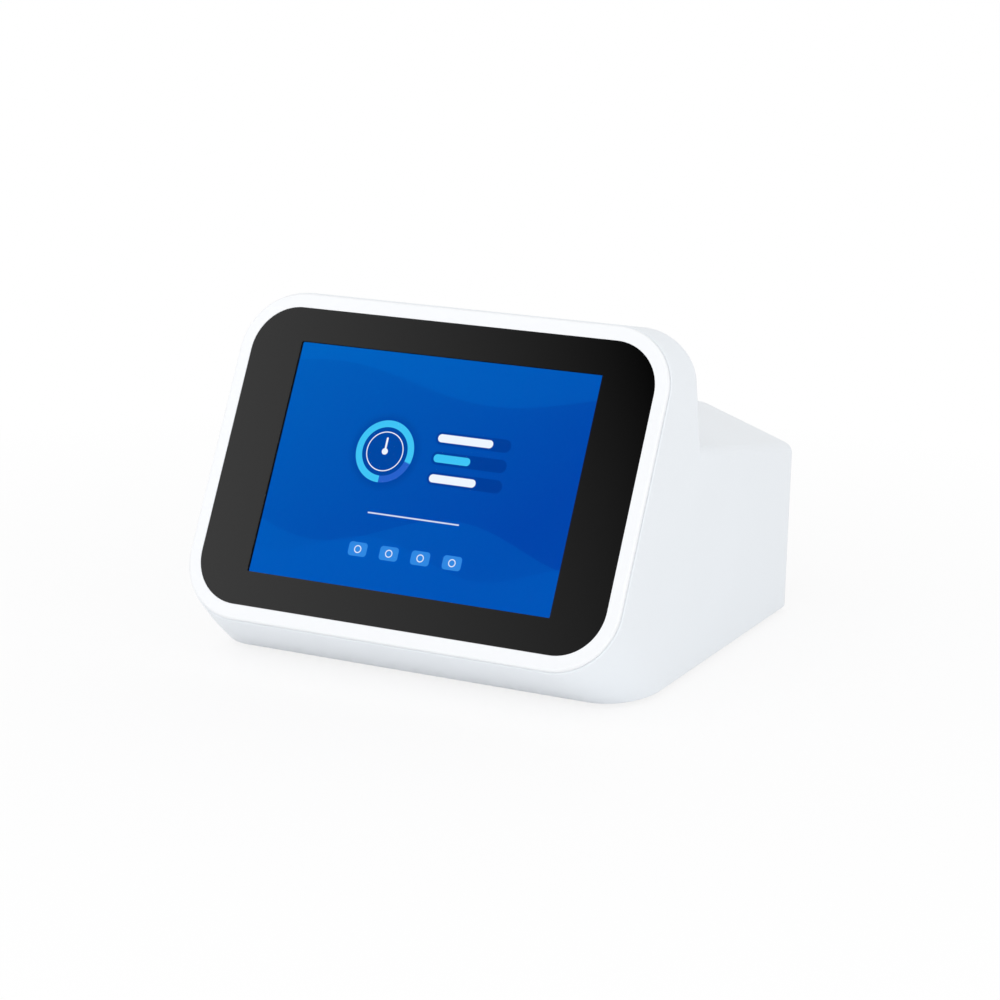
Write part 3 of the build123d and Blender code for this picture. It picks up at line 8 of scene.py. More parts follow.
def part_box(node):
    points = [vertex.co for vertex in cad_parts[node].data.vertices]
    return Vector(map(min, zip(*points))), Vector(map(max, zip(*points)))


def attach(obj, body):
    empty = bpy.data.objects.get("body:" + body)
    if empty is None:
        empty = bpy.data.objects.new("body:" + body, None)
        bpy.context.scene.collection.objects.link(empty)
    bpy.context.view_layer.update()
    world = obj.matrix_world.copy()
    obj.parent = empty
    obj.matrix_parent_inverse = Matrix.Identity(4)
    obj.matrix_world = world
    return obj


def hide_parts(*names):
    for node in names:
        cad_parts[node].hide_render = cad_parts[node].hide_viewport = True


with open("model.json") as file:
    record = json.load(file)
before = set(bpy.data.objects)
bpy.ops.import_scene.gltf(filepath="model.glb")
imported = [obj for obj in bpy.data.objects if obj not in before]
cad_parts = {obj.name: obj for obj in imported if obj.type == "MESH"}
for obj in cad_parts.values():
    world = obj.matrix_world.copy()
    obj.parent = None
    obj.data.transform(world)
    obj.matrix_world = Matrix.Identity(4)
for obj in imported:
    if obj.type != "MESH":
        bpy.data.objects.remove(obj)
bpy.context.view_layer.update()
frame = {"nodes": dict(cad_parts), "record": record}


# Camera: in front and to the right of the instrument, a little above it, fitted to its outline.
# It is turned slightly about its own line of sight.
eye = Vector((0.7398, -1.5172, 0.5002))
yaw, pitch, roll = radians(25.92), radians(13.635), radians(1.279)
look = Vector((-sin(yaw) * cos(pitch), cos(yaw) * cos(pitch), -sin(pitch)))
side = Vector((cos(yaw), sin(yaw), 0))
upright = side.cross(look)
across = cos(roll) * side + sin(roll) * upright
upward = -sin(roll) * side + cos(roll) * upright
bpy.ops.object.camera_add()
camera = bpy.context.object
camera.matrix_world = Matrix.Translation(eye) @ Matrix((across, upward, -look)).transposed().to_4x4()
camera.data.lens = 94.77
camera.data.sensor_width = 36
camera.data.clip_end = 50
bpy.context.scene.camera = camera
bpy.context.scene.view_settings.view_transform = "Standard"


# Studio: a pale floor that fades into a white ground, three large soft lamps and a grey card.
# The card lights nothing. The cover glass mirrors it, paler at the left and dark at the right.
def put(tree, socket, value):
    """Link a node or socket to an input, or set the input's value."""
    if isinstance(value, bpy.types.Node):
        value = value.outputs[0]
    if isinstance(value, bpy.types.NodeSocket):
        tree.links.new(value, socket)
    else:
        socket.default_value = value


def add(tree, kind, settings=None, *inputs, **named):
    """Add a shader node with its settings and its inputs, by order or by name."""
    made = tree.nodes.new("ShaderNode" + kind)
    for key, value in (settings or {}).items():
        setattr(made, key, value)
    for index, value in enumerate(inputs):
        if value is not None:
            put(tree, made.inputs[index], value)
    for key, value in named.items():
        put(tree, made.inputs[key.replace("_", " ")], value)
    return made


def seen_directly(tree):
    """1 for camera, glossy and transmission rays, 0 for the rays that light the object."""
    path = add(tree, "LightPath")
    rays = [path.outputs[name] for name in ("Is Camera Ray", "Is Glossy Ray", "Is Transmission Ray")]
    first = add(tree, "Math", {"operation": "MAXIMUM"}, rays[0], rays[1])
    return add(tree, "Math", {"operation": "MAXIMUM"}, first, rays[2])


world = bpy.data.worlds.new("white ground")
bpy.context.scene.world = world
world.use_nodes = True
tree = world.node_tree
ground = tree.nodes["Background"]
ground.inputs["Color"].default_value = (1, 1, 1, 1)
level = add(tree, "MapRange", None, seen_directly(tree), 0, 1, 0.8, 1)
tree.links.new(level.outputs[0], ground.inputs["Strength"])

bpy.ops.object.select_all(action="DESELECT")
bpy.ops.mesh.primitive_plane_add(size=60)
floor = bpy.context.object
floor.name = "floor"
sheet = bpy.data.materials.new("pale floor")
sheet.use_nodes = True
tree = sheet.node_tree
paint = tree.nodes["Principled BSDF"]
paint.inputs["Base Color"].default_value = (0.93, 0.93, 0.935, 1)
paint.inputs["Roughness"].default_value = 0.8
paint.inputs["Specular IOR Level"].default_value = 0.1
glow = add(tree, "Emission", None, (1, 1, 1, 1), 1)
reach = add(tree, "VectorMath", {"operation": "LENGTH"}, add(tree, "TexCoord").outputs["Object"])
fade = add(tree, "MapRange", None, reach.outputs["Value"], 0.2, 0.75, 0.82, 1)
share = add(tree, "Math", {"operation": "MULTIPLY"}, seen_directly(tree), fade)
blend = add(tree, "MixShader", None, share, paint, glow)
tree.links.new(blend.outputs[0], tree.nodes["Material Output"].inputs["Surface"])
floor.data.materials.append(sheet)

for name, place, turn, size, power in (
    ("key lamp", (-0.6, -1.3, 2.2), (30, -14, 0), 1.8, 6.5),
    ("right lamp", (2.0, -0.7, 0.45), (82, 0, 68), 1.4, 8),
    ("low front lamp", (0.1, -1.9, 0.35), (94, 0, 0), 1.4, 10),
):
    bpy.ops.object.light_add(type="AREA", location=place, rotation=[radians(a) for a in turn])
    lamp = bpy.context.object
    lamp.name = name
    lamp.data.size = size
    lamp.data.energy = power
    lamp.visible_glossy = False

bpy.ops.object.select_all(action="DESELECT")
bpy.ops.mesh.primitive_plane_add(size=1.7, location=(-0.51, -0.973, 0.79),
                                 rotation=(radians(123), 0, radians(-30)))
card = bpy.context.object
card.name = "grey card"
card.visible_camera = card.visible_diffuse = card.visible_transmission = card.visible_shadow = False
grey = bpy.data.materials.new("grey card")
grey.use_nodes = True
tree = grey.node_tree
tree.nodes.remove(tree.nodes["Principled BSDF"])
sides = add(tree, "SeparateXYZ", None, add(tree, "TexCoord").outputs["Generated"])
slant = add(tree, "Math", {"operation": "MULTIPLY_ADD"}, sides.outputs["Y"], 0.29, sides.outputs["X"])
tone = add(tree, "MapRange", None, slant, 0.381, 0.855, 1.3, 0.01)
lit_card = add(tree, "Emission", None, (1, 1, 1, 1), tone)
tree.links.new(lit_card.outputs[0], tree.nodes["Material Output"].inputs["Surface"])
card.data.materials.append(grey)


# Shell: the white moulded housing that carries everything, injection moulded ABS with a fine spark texture.
# The parting edge at the mouth is rounded, and the inside is left as moulded.
def new_material(name, metallic=0.0):
    """A material with its node tree and its Principled shader."""
    made = bpy.data.materials.new(name)
    made.use_nodes = True
    shader = made.node_tree.nodes["Principled BSDF"]
    shader.inputs["Metallic"].default_value = metallic
    return made, made.node_tree, shader


def dress(material, *names):
    """Give CAD nodes a material."""
    for name in names:
        for slot in frame["nodes"][name].material_slots:
            slot.material = material


def new_group(name, inputs, outputs):
    """A shader node group with named inputs and outputs, and the tree inside it."""
    tree = bpy.data.node_groups.new(name, "ShaderNodeTree")
    for title, kind, value in inputs:
        socket = tree.interface.new_socket(title, in_out="INPUT", socket_type="NodeSocket" + kind)
        socket.default_value = value
    for title, kind in outputs:
        tree.interface.new_socket(title, in_out="OUTPUT", socket_type="NodeSocket" + kind)
    return tree, tree.nodes.new("NodeGroupInput"), tree.nodes.new("NodeGroupOutput")


surface_outputs = (("Colour", "Color"), ("Roughness", "Float"), ("Normal", "Vector"))

moulded, given, result = new_group(
    "moulded skin",
    (("Colour", "Color", (1, 1, 1, 1)), ("Roughness", "Float", 0.4), ("Grain size", "Float", 0.0006),
     ("Grain depth", "Float", 0.00002), ("Clouding", "Float", 0.02)),
    surface_outputs)
place = add(moulded, "TexCoord").outputs["Object"]
fineness = add(moulded, "Math", {"operation": "DIVIDE"}, 1.0, given.outputs["Grain size"])
grain = add(moulded, "TexNoise", None, Vector=place, Scale=fineness, Detail=3.0, Roughness=0.55)
cloud = add(moulded, "TexNoise", None, Vector=place, Scale=14.0, Detail=2.0, Roughness=0.5)
drift = add(moulded, "MapRange", None, cloud.outputs[0], 0.3, 0.7, -0.5, 0.5)
change = add(moulded, "Math", {"operation": "MULTIPLY"}, drift, given.outputs["Clouding"])
lift = add(moulded, "Math", {"operation": "ADD"}, change, 1.0)
tone = add(moulded, "VectorMath", {"operation": "SCALE"}, given.outputs["Colour"])
put(moulded, tone.inputs["Scale"], lift)
rub = add(moulded, "Math", {"operation": "MULTIPLY_ADD"}, change, 2.0, given.outputs["Roughness"])
peak = add(moulded, "Math", {"operation": "MULTIPLY_ADD"}, grain.outputs[0], 0.08, rub)
relief = add(moulded, "Bump", None, Strength=1.0, Distance=given.outputs["Grain depth"],
             Height=grain.outputs[0])
put(moulded, result.inputs["Colour"], tone)
put(moulded, result.inputs["Roughness"], peak)
put(moulded, result.inputs["Normal"], relief)


def use_group(tree, shader, group, **values):
    """Place a group in a material and lead its outputs to the shader."""
    made = add(tree, "Group", {"node_tree": group})
    for key, value in values.items():
        put(tree, made.inputs[key.replace("_", " ")], value)
    put(tree, shader.inputs["Base Color"], made.outputs["Colour"])
    put(tree, shader.inputs["Roughness"], made.outputs["Roughness"])
    put(tree, shader.inputs["Normal"], made.outputs["Normal"])
    return made


white_shell, tree, shader = new_material("white moulded shell")
use_group(tree, shader, moulded, Colour=(0.815, 0.85, 0.885, 1), Roughness=0.34, Grain_size=0.0007,
          Grain_depth=0.000012, Clouding=0.012)
dress(white_shell, "housing")


# Front ring: the frame around the glass, moulded in the same white but polished smoother than the shell.
# Its spigot enters the shell's mouth and leaves a thin dark seam all round.
white_ring, tree, shader = new_material("white ring")
use_group(tree, shader, moulded, Colour=(0.85, 0.865, 0.885, 1), Roughness=0.26, Grain_size=0.0009,
          Grain_depth=0.000006, Clouding=0.01)
dress(white_ring, "front_ring")


# Cover glass: chemically hardened float glass, printed black on the back outside the display's window.
# The print is the glass's own base colour. The window has a coating that takes its reflections away.
glass_low, glass_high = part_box("cover_glass")
screen_place = (Vector(glass_low) + Vector(glass_high)) / 2
screen_turn = (radians(63.7), 0, 0)


def screen_point(tree):
    """The place on the display: x to the right, y up the glass, z out of it, in millimetres."""
    place = add(tree, "TexCoord").outputs["Object"]
    flat = add(tree, "Mapping", {"vector_type": "TEXTURE"}, place, screen_place, screen_turn)
    return add(tree, "VectorMath", {"operation": "MULTIPLY"}, flat, (1000, 1000, 0))


def panel_mask(tree, point, middle, size, corner, soft=0.12):
    """1 inside a rectangle with round corners, 0 outside."""
    off = add(tree, "VectorMath", {"operation": "SUBTRACT"}, point, (*middle, 0))
    folded = add(tree, "VectorMath", {"operation": "ABSOLUTE"}, off)
    core = (size[0] / 2 - corner, size[1] / 2 - corner, 0)
    beyond = add(tree, "VectorMath", {"operation": "SUBTRACT"}, folded, core)
    outside = add(tree, "VectorMath", {"operation": "MAXIMUM"}, beyond, (0, 0, 0))
    length = add(tree, "VectorMath", {"operation": "LENGTH"}, outside)
    return add(tree, "MapRange", None, length.outputs["Value"], corner - soft, corner + soft, 1, 0)


glass, tree, shader = new_material("printed glass")
window = panel_mask(tree, screen_point(tree), (0, 0), (211.2, 153.0), 0.6, 0.06)
ink = add(tree, "MixRGB", None, window, (0.002, 0.002, 0.003, 1), (1, 1, 1, 1))
put(tree, shader.inputs["Base Color"], ink)
smear = add(tree, "TexNoise", None, Vector=add(tree, "TexCoord").outputs["Object"], Scale=9.0, Detail=4.0)
haze = add(tree, "MapRange", None, smear.outputs[0], 0.45, 0.75, 0.0, 0.035)
put(tree, shader.inputs["Roughness"], haze)
coated = add(tree, "MapRange", None, window, 0, 1, 1.5, 1.02)
put(tree, shader.inputs["IOR"], coated)
shader.inputs["Transmission Weight"].default_value = 1.0
dress(glass, "cover_glass")


# Display: a lit liquid-crystal panel. It shows a plain measuring page: a dial, three level bars,
# a row of keys and soft waves, all drawn from distances on the panel.
picture, given, result = new_group("measuring page", (("Place", "Vector", (0, 0, 0)),),
                                   (("Colour", "Color"),))
spot = given.outputs["Place"]
apart = add(picture, "SeparateXYZ", None, spot)
across_page, up_page = apart.outputs["X"], apart.outputs["Y"]


def calc(kind, a, b=0.0, c=0.0):
    return add(picture, "Math", {"operation": kind}, a, b, c)


def over(below, colour, mask, opacity=1.0):
    """Lay a colour over what is below where the mask is 1."""
    return add(picture, "MixRGB", None, calc("MULTIPLY", mask, opacity), below, colour)


def dial(middle, radius, width, soft=0.12):
    """1 on a ring of that radius and line width."""
    off = add(picture, "VectorMath", {"operation": "SUBTRACT"}, spot, (*middle, 0))
    length = add(picture, "VectorMath", {"operation": "LENGTH"}, off)
    off_line = calc("ABSOLUTE", calc("SUBTRACT", length.outputs["Value"], radius))
    return add(picture, "MapRange", None, off_line, width / 2 - soft, width / 2 + soft, 1, 0)


def wave(height, swell, length, shift, below=True):
    """1 under a long wave across the page, or above it where below is False."""
    turns = calc("MULTIPLY_ADD", across_page, 2 * pi / length, shift)
    line = calc("MULTIPLY_ADD", calc("SINE", turns), swell, height)
    rise = calc("SUBTRACT", line, up_page) if below else calc("SUBTRACT", up_page, line)
    return add(picture, "MapRange", None, rise, -0.15, 0.15, 0, 1)


towards_top_left = calc("MULTIPLY_ADD", across_page, -0.003, calc("MULTIPLY_ADD", up_page, 0.003, 0.3))
page = add(picture, "MixRGB", None, towards_top_left, (0, 0.058, 0.41, 1), (0, 0.12, 0.52, 1))
page = over(page, (0, 0.14, 0.6, 1), wave(-38, 12, 190, 0.6), 0.25)
page = over(page, (0, 0.11, 0.55, 1), wave(-52, 9, 150, 2.6), 0.3)
page = over(page, (0, 0.2, 0.75, 1), wave(58, 9, 230, 3.7, False), 0.16)
pale, sky, deep = (0.86, 0.92, 1.0, 1), (0.05, 0.56, 0.92, 1), (0.0, 0.02, 0.2, 1)
centre, scale_radius, scale_width = (-30, 12), 18, 4.4
page = over(page, deep, dial(centre, 0, 46, 3.0), 0.35)
page = over(page, (0.02, 0.12, 0.6, 1), dial(centre, scale_radius, scale_width))
turned = add(picture, "Math", {"operation": "ARCTAN2"}, calc("SUBTRACT", across_page, centre[0]),
             calc("SUBTRACT", up_page, centre[1]))
filled = add(picture, "MapRange", None, turned, 1.85, 1.9, 1, 0)
page = over(page, sky, calc("MULTIPLY", dial(centre, scale_radius, scale_width), filled))
page = over(page, pale, dial(centre, 12.6, 0.6))
page = over(page, pale, panel_mask(picture, spot, (centre[0], centre[1] + 4.6), (1.3, 9), 0.6))
page = over(page, pale, dial(centre, 0, 4.2))
bars_x, bar_length = 29, 48.8
for height, part, colour in ((25, 0.78, pale), (12, 0.52, sky), (-1, 0.66, pale)):
    page = over(page, deep, panel_mask(picture, spot, (bars_x, height), (52, 8.4), 4.1), 0.45)
    middle_x = bars_x - bar_length / 2 * (1 - part)
    page = over(page, colour, panel_mask(picture, spot, (middle_x, height), (bar_length * part, 5.2), 2.5))
first_key_x, key_pitch, keys_y = -33, 22, -52
for step in range(4):
    x = first_key_x + key_pitch * step
    page = over(page, (0.04, 0.3, 0.85, 1), panel_mask(picture, spot, (x, keys_y), (13, 9), 2.2), 0.75)
    page = over(page, pale, dial((x, keys_y), 2.2, 0.6), 0.9)
page = over(page, pale, panel_mask(picture, spot, (0, -28), (64, 0.9), 0.4), 0.8)
put(picture, result.inputs["Colour"], page)

lit, tree, shader = new_material("lit display")
shown = add(tree, "Group", {"node_tree": picture})
put(tree, shown.inputs["Place"], screen_point(tree))
put(tree, shader.inputs["Emission Color"], shown)
shader.inputs["Emission Strength"].default_value = 1.0
shader.inputs["Base Color"].default_value = (0.001, 0.001, 0.001, 1)
shader.inputs["Roughness"].default_value = 0.35
shader.inputs["Specular IOR Level"].default_value = 0.0
dress(lit, "lcd_panel")


# Tape: the matt black foam adhesive that holds the glass to the ring and hides the display's edge.
# It is soft, so it scatters light and has a coarse open grain.
soft_black, tree, shader = new_material("foam tape")
use_group(tree, shader, moulded, Colour=(0.008, 0.008, 0.009, 1), Roughness=0.85, Grain_size=0.0005,
          Grain_depth=0.00006, Clouding=0.2)
shader.inputs["Specular IOR Level"].default_value = 0.1
dress(soft_black, "glass_tape")


# Worked metal: one group for every metal piece, with fine lines pulled out along the way it was worked.
# Line density is in lines per metre along x, y and z: low along the lines, high across them.
worked, given, result = new_group(
    "worked metal",
    (("Colour", "Color", (0.7, 0.7, 0.72, 1)), ("Roughness", "Float", 0.3),
     ("Line density", "Vector", (60, 4000, 4000)), ("Line depth", "Float", 0.000003),
     ("Stain", "Float", 0.06)),
    surface_outputs)
place = add(worked, "TexCoord").outputs["Object"]
pulled = add(worked, "VectorMath", {"operation": "MULTIPLY"}, place, given.outputs["Line density"])
lines = add(worked, "TexNoise", None, Vector=pulled, Scale=1.0, Detail=4.0, Roughness=0.6)
patches = add(worked, "TexNoise", None, Vector=place, Scale=60.0, Detail=3.0, Roughness=0.6)
patch_drift = add(worked, "MapRange", None, patches.outputs[0], 0.25, 0.75, -1, 1)
line_drift = add(worked, "MapRange", None, lines.outputs[0], 0.25, 0.75, -0.5, 0.5)
both_drifts = add(worked, "Math", {"operation": "ADD"}, patch_drift, line_drift)
dimmed = add(worked, "Math", {"operation": "MULTIPLY"}, both_drifts, given.outputs["Stain"])
tone = add(worked, "VectorMath", {"operation": "SCALE"}, given.outputs["Colour"])
put(worked, tone.inputs["Scale"], add(worked, "Math", {"operation": "ADD"}, dimmed, 1.0))
rough_lines = add(worked, "Math", {"operation": "MULTIPLY_ADD"}, line_drift, 0.16,
                  given.outputs["Roughness"])
rough = add(worked, "Math", {"operation": "MULTIPLY_ADD"}, patch_drift, given.outputs["Stain"], rough_lines)
relief = add(worked, "Bump", None, Strength=1.0, Distance=given.outputs["Line depth"],
             Height=lines.outputs[0])
put(worked, result.inputs["Colour"], tone)
put(worked, result.inputs["Roughness"], rough)
put(worked, result.inputs["Normal"], relief)


def metal(name, colour, roughness, density, nodes, depth=0.000003, stain=0.06):
    """A metal worked in one direction, and the nodes made of it."""
    made, tree, shader = new_material(name, metallic=1.0)
    use_group(tree, shader, worked, Colour=(*colour, 1), Roughness=roughness, Line_density=density,
              Line_depth=depth, Stain=stain)
    dress(made, *nodes)
    return made


# Display frame and bracket: folded zinc-plated sheet, screwed across the back of the ring.
# The rolling lines run across the sheet, and the passivated zinc is a little clouded.
metal("zinc-plated sheet", (0.62, 0.64, 0.66), 0.38, (50, 2600, 2600),
      ("lcd_frame", "display_bracket", "power_cage", "tank_bands"), stain=0.12)


# Display screws: plain zinc-plated machine screws, turned, that hold the bracket to the ring.
# Their lines run round the shank.
screw_steel = metal("zinc-plated screw", (0.60, 0.61, 0.63), 0.3, (900, 900, 900), ("display_screws",))


# Circuit boards: green solder mask over copper tracks, with dark moulded parts on the fitted side.
# One group draws them all from a place in millimetres whose z is the height above the fitted side.
board, given, result = new_group("fitted board", (("Place", "Vector", (0, 0, 0)),), surface_outputs)
spot = given.outputs["Place"]
tracks = add(board, "TexBrick", None, Vector=spot, Scale=0.22, Color1=(0, 0, 0, 1), Color2=(0, 0, 0, 1),
             Mortar=(1, 1, 1, 1))
put(board, tracks.inputs["Mortar Size"], 0.05)
pads = add(board, "TexVoronoi", None, Vector=spot, Scale=0.35)
pad = add(board, "MapRange", None, pads.outputs["Distance"], 0.16, 0.2, 1, 0)
mask_green = add(board, "MixRGB", None, tracks.outputs["Color"], (0.008, 0.085, 0.034, 1),
                 (0.02, 0.17, 0.065, 1))
tinned = add(board, "MixRGB", None, pad, mask_green, (0.55, 0.56, 0.55, 1))
height = add(board, "SeparateXYZ", None, spot).outputs["Z"]
fitted = add(board, "MapRange", None, height, 0.02, 0.1, 0, 1)
kinds = add(board, "TexVoronoi", None, Vector=spot, Scale=0.09)
shade = add(board, "MapRange", None, kinds.outputs["Color"], 0.1, 0.9, 0.012, 0.10)
part_tone = add(board, "CombineXYZ", None, shade, shade, shade)
put(board, result.inputs["Colour"], add(board, "MixRGB", None, fitted, tinned, part_tone))
put(board, result.inputs["Roughness"], add(board, "MapRange", None, fitted, 0, 1, 0.3, 0.5))
bumps = add(board, "Math", {"operation": "ADD"}, tracks.outputs["Fac"], pad)
put(board, result.inputs["Normal"], add(board, "Bump", None, Strength=0.6, Distance=0.00003, Height=bumps))


def fitted_board(name, node, origin, turn):
    """Dress a board whose fitted side passes through origin, its normal turned from z by turn."""
    made, tree, shader = new_material(name)
    place = add(tree, "TexCoord").outputs["Object"]
    flat = add(tree, "Mapping", {"vector_type": "TEXTURE"}, place, origin, turn)
    millimetres = add(tree, "VectorMath", {"operation": "MULTIPLY"}, flat, (1000, 1000, 1000))
    use_group(tree, shader, board, Place=millimetres)
    dress(made, node)


screen_normal = Vector((0, -cos(pi / 2 - screen_turn[0]), sin(pi / 2 - screen_turn[0])))
glass_to_board = 0.0187
board_thickness = 0.0016
main_origin = screen_place - glass_to_board * screen_normal
fitted_board("main board", "main_board", main_origin, (screen_turn[0] + pi, 0, 0))
for name, node in (("data board", "io_board"), ("power board", "power_board")):
    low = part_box(node)[0]
    fitted_board(name, node, (0, 0, low[2] + board_thickness), (0, 0, 0))


# Board standoffs and port nuts: hexagonal and round brass, turned from bar.
# Turning lines run round them, and handling leaves them slightly dull.
metal("turned brass", (0.68, 0.50, 0.24), 0.28, (700, 5200, 700), ("board_standoffs", "port_nuts"),
      stain=0.1)


# Base plate: steel sheet with a grey powder coat, held to the shell's bosses by six screws.
# The coat has the orange-peel skin of baked powder.
coat, tree, shader = new_material("grey powder coat")
use_group(tree, shader, moulded, Colour=(0.30, 0.315, 0.335, 1), Roughness=0.5, Grain_size=0.0016,
          Grain_depth=0.00005, Clouding=0.03)
dress(coat, "base_plate")


# Feet: four moulded rubber feet whose stems snap through the base plate.
# The rubber is matt, with a bloom of dust in its grain.
rubber, tree, shader = new_material("black rubber")
use_group(tree, shader, moulded, Colour=(0.022, 0.022, 0.024, 1), Roughness=0.78, Grain_size=0.0009,
          Grain_depth=0.00004, Clouding=0.25)
shader.inputs["Specular IOR Level"].default_value = 0.25
dress(rubber, "rubber_feet", "platen_rubber")


# Screws that show: pan heads with a cross recess, at the base bosses, the panel's corners and the fan.
# Each set is one piece, and stands for the plain screws of the CAD model.
head_radius, head_height, shank_radius, shank_length = 0.0029, 0.0018, 0.0015, 0.0069
recess_length, recess_width, recess_depth = 0.0034, 0.00075, 0.0011


def start(kind, name, place=(0, 0, 0), turn=(0, 0, 0), size=(1, 1, 1), **settings):
    """Add a primitive, give it its real size and leave it selected alone."""
    bpy.ops.object.select_all(action="DESELECT")
    getattr(bpy.ops.mesh, f"primitive_{kind}_add")(location=place, rotation=turn, **settings)
    piece = bpy.context.object
    piece.name = name
    piece.scale = size
    bpy.ops.object.transform_apply(location=True, rotation=True, scale=True)
    return piece


def modify(piece, kind, **settings):
    """Give a piece a modifier and apply it."""
    bpy.ops.object.select_all(action="DESELECT")
    piece.select_set(True)
    bpy.context.view_layer.objects.active = piece
    step = piece.modifiers.new(kind, kind)
    for key, value in settings.items():
        setattr(step, key, value)
    bpy.ops.object.modifier_apply(modifier=step.name)


def soften(piece, width, segments=3):
    """Round the sharp edges of a piece and shade it smooth between them."""
    modify(piece, "BEVEL", width=width, segments=segments, limit_method="ANGLE", angle_limit=radians(35))
    bpy.ops.object.shade_smooth_by_angle(angle=radians(35))


def join(name, *pieces):
    """Join pieces into one."""
    bpy.ops.object.select_all(action="DESELECT")
    for piece in pieces:
        piece.select_set(True)
    bpy.context.view_layer.objects.active = pieces[0]
    if len(pieces) > 1:
        bpy.ops.object.join()
    pieces[0].name = name
    return pieces[0]


def finish_piece(piece, body, material, replaced=None):
    """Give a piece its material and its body."""
    piece.data.materials.clear()
    piece.data.materials.append(material)
    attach(piece, body)
    if replaced:
        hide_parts(replaced)


def cross_screw(place, turn):
    """One screw with its head's underside at place, pointing inwards along its own -z."""
    head = start("cylinder", "screw", (0, 0, head_height / 2), vertices=48, radius=head_radius,
                 depth=head_height)
    soften(head, 0.0007, 4)
    for width, length in ((recess_length, recess_width), (recess_width, recess_length)):
        cutter = start("cube", "cutter", (0, 0, head_height), size=(width, length, 2 * recess_depth))
        modify(head, "BOOLEAN", operation="DIFFERENCE", object=cutter, solver="EXACT")
        bpy.data.objects.remove(cutter)
    shank = start("cylinder", "shank", (0, 0, -shank_length / 2), vertices=32, radius=shank_radius,
                  depth=shank_length)
    soften(shank, 0.0003, 2)
    whole = join("screw", head, shank)
    whole.rotation_euler = turn
    whole.location = place
    bpy.ops.object.transform_apply(location=True, rotation=True, scale=True)
    return whole


outwards_back = (radians(-90), 0, 0)
downwards = (radians(180), 0, 0)
low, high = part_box("base_screws")
xs = (low[0] + head_radius, high[0] - head_radius)
ys = (low[1] + head_radius, (low[1] + high[1]) / 2, high[1] - head_radius)
seat = low[2] + head_height
base_set = join("base_cross_screws", *[cross_screw((x, y, seat), downwards) for x in xs for y in ys])
finish_piece(base_set, "case", screw_steel, "base_screws")
low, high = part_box("panel_screws")
panel_face = high[1] - head_height
places = [(x, z) for x in (low[0] + head_radius, high[0] - head_radius)
          for z in (low[2] + head_radius, high[2] - head_radius)]
fan_low, fan_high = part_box("fan_frame")
fan_x, fan_z = (fan_low[0] + fan_high[0]) / 2, (fan_low[2] + fan_high[2]) / 2
fan_hole = 0.016
places += [(fan_x + i * fan_hole, fan_z + j * fan_hole) for i in (-1, 1) for j in (-1, 1)]
panel_set = join("panel_cross_screws", *[cross_screw((x, panel_face, z), outwards_back) for x, z in places])
finish_piece(panel_set, "case", screw_steel, "panel_screws")


# Gas group: a machined aluminium block with its regulator, clear-anodised, between valves and tubes.
# Milling lines run along the block, and the regulator's bonnet has the same finish.
metal("machined aluminium", (0.72, 0.73, 0.74), 0.3, (90, 3000, 3000),
      ("manifold_block", "pressure_regulator"))
metal("ground steel", (0.58, 0.58, 0.59), 0.22, (3500, 3500, 120),
      ("valve_plunger_1", "valve_plunger_2", "valve_plunger_3", "pressure_sensors"), stain=0.04)
metal("polished steel tank", (0.62, 0.63, 0.64), 0.16, (2800, 90, 90), ("buffer_tank",), stain=0.05)


# Solenoid coils: black glass-filled nylon, moulded over the windings.
# Glass fibres near the surface give it a faint mottled sheen.
nylon, tree, shader = new_material("filled nylon")
use_group(tree, shader, moulded, Colour=(0.018, 0.018, 0.02, 1), Roughness=0.45, Grain_size=0.0012,
          Grain_depth=0.00003, Clouding=0.3)
dress(nylon, "solenoid_coils")


# Gas tubes: blue polyurethane tube, pushed into the fittings' collars.
# Extrusion leaves its skin glossy, with a slight cloud in the colour.
tube, tree, shader = new_material("blue tube")
use_group(tree, shader, moulded, Colour=(0.012, 0.07, 0.32, 1), Roughness=0.22, Grain_size=0.004,
          Grain_depth=0.00002, Clouding=0.12)
dress(tube, "gas_tubes")


# Rear tray and rear panel: the moulded well in the white shell, and the satin-anodised sheet at its bottom.
# The sheet's brushed lines run across the instrument.
dress(white_shell, "rear_tray")
metal("satin-anodised sheet", (0.66, 0.67, 0.69), 0.42, (45, 3600, 3600), ("rear_panel",), stain=0.03)


# Mains inlet: a black moulded module with its drawer, and the rocker in the same black but glossier.
# The moulding is fine spark texture, as such modules have.
black_fine, tree, shader = new_material("black spark texture")
use_group(tree, shader, moulded, Colour=(0.016, 0.016, 0.018, 1), Roughness=0.42, Grain_size=0.0005,
          Grain_depth=0.00002, Clouding=0.1)
dress(black_fine, "inlet_housing", "fuse_drawer", "fan_frame", "fan_rotor")
black_gloss, tree, shader = new_material("black rocker")
use_group(tree, shader, moulded, Colour=(0.014, 0.014, 0.016, 1), Roughness=0.2, Grain_size=0.0012,
          Grain_depth=0.000006, Clouding=0.1)
dress(black_gloss, "rocker")
metal("nickel-plated contact", (0.70, 0.68, 0.63), 0.2, (400, 60, 4000),
      ("inlet_pins", "usb_sockets", "lan_socket", "serial_socket"), stain=0.05)


# Rocker marks: the two common signs for on and off, printed white and a little raised on the rocker.
# They sit on its two sloping faces, so each has its own tilt.
print_white, tree, shader = new_material("white print")
use_group(tree, shader, moulded, Colour=(0.8, 0.8, 0.8, 1), Roughness=0.5, Grain_size=0.0004,
          Grain_depth=0.00001, Clouding=0.05)
joints = frame["record"]["behaviour"]["joints"]
rocker_pivot = Vector(next(joint["pos_m"] for joint in joints if joint["name"] == "rocker_tip"))
rocker_rest = radians(9)
crown_height, crown_fall, face_half_width = 0.0036, 0.0014, 0.0102
face_fall = radians(7.8)
sign_from_middle, sign_proud = 0.006, 0.00004


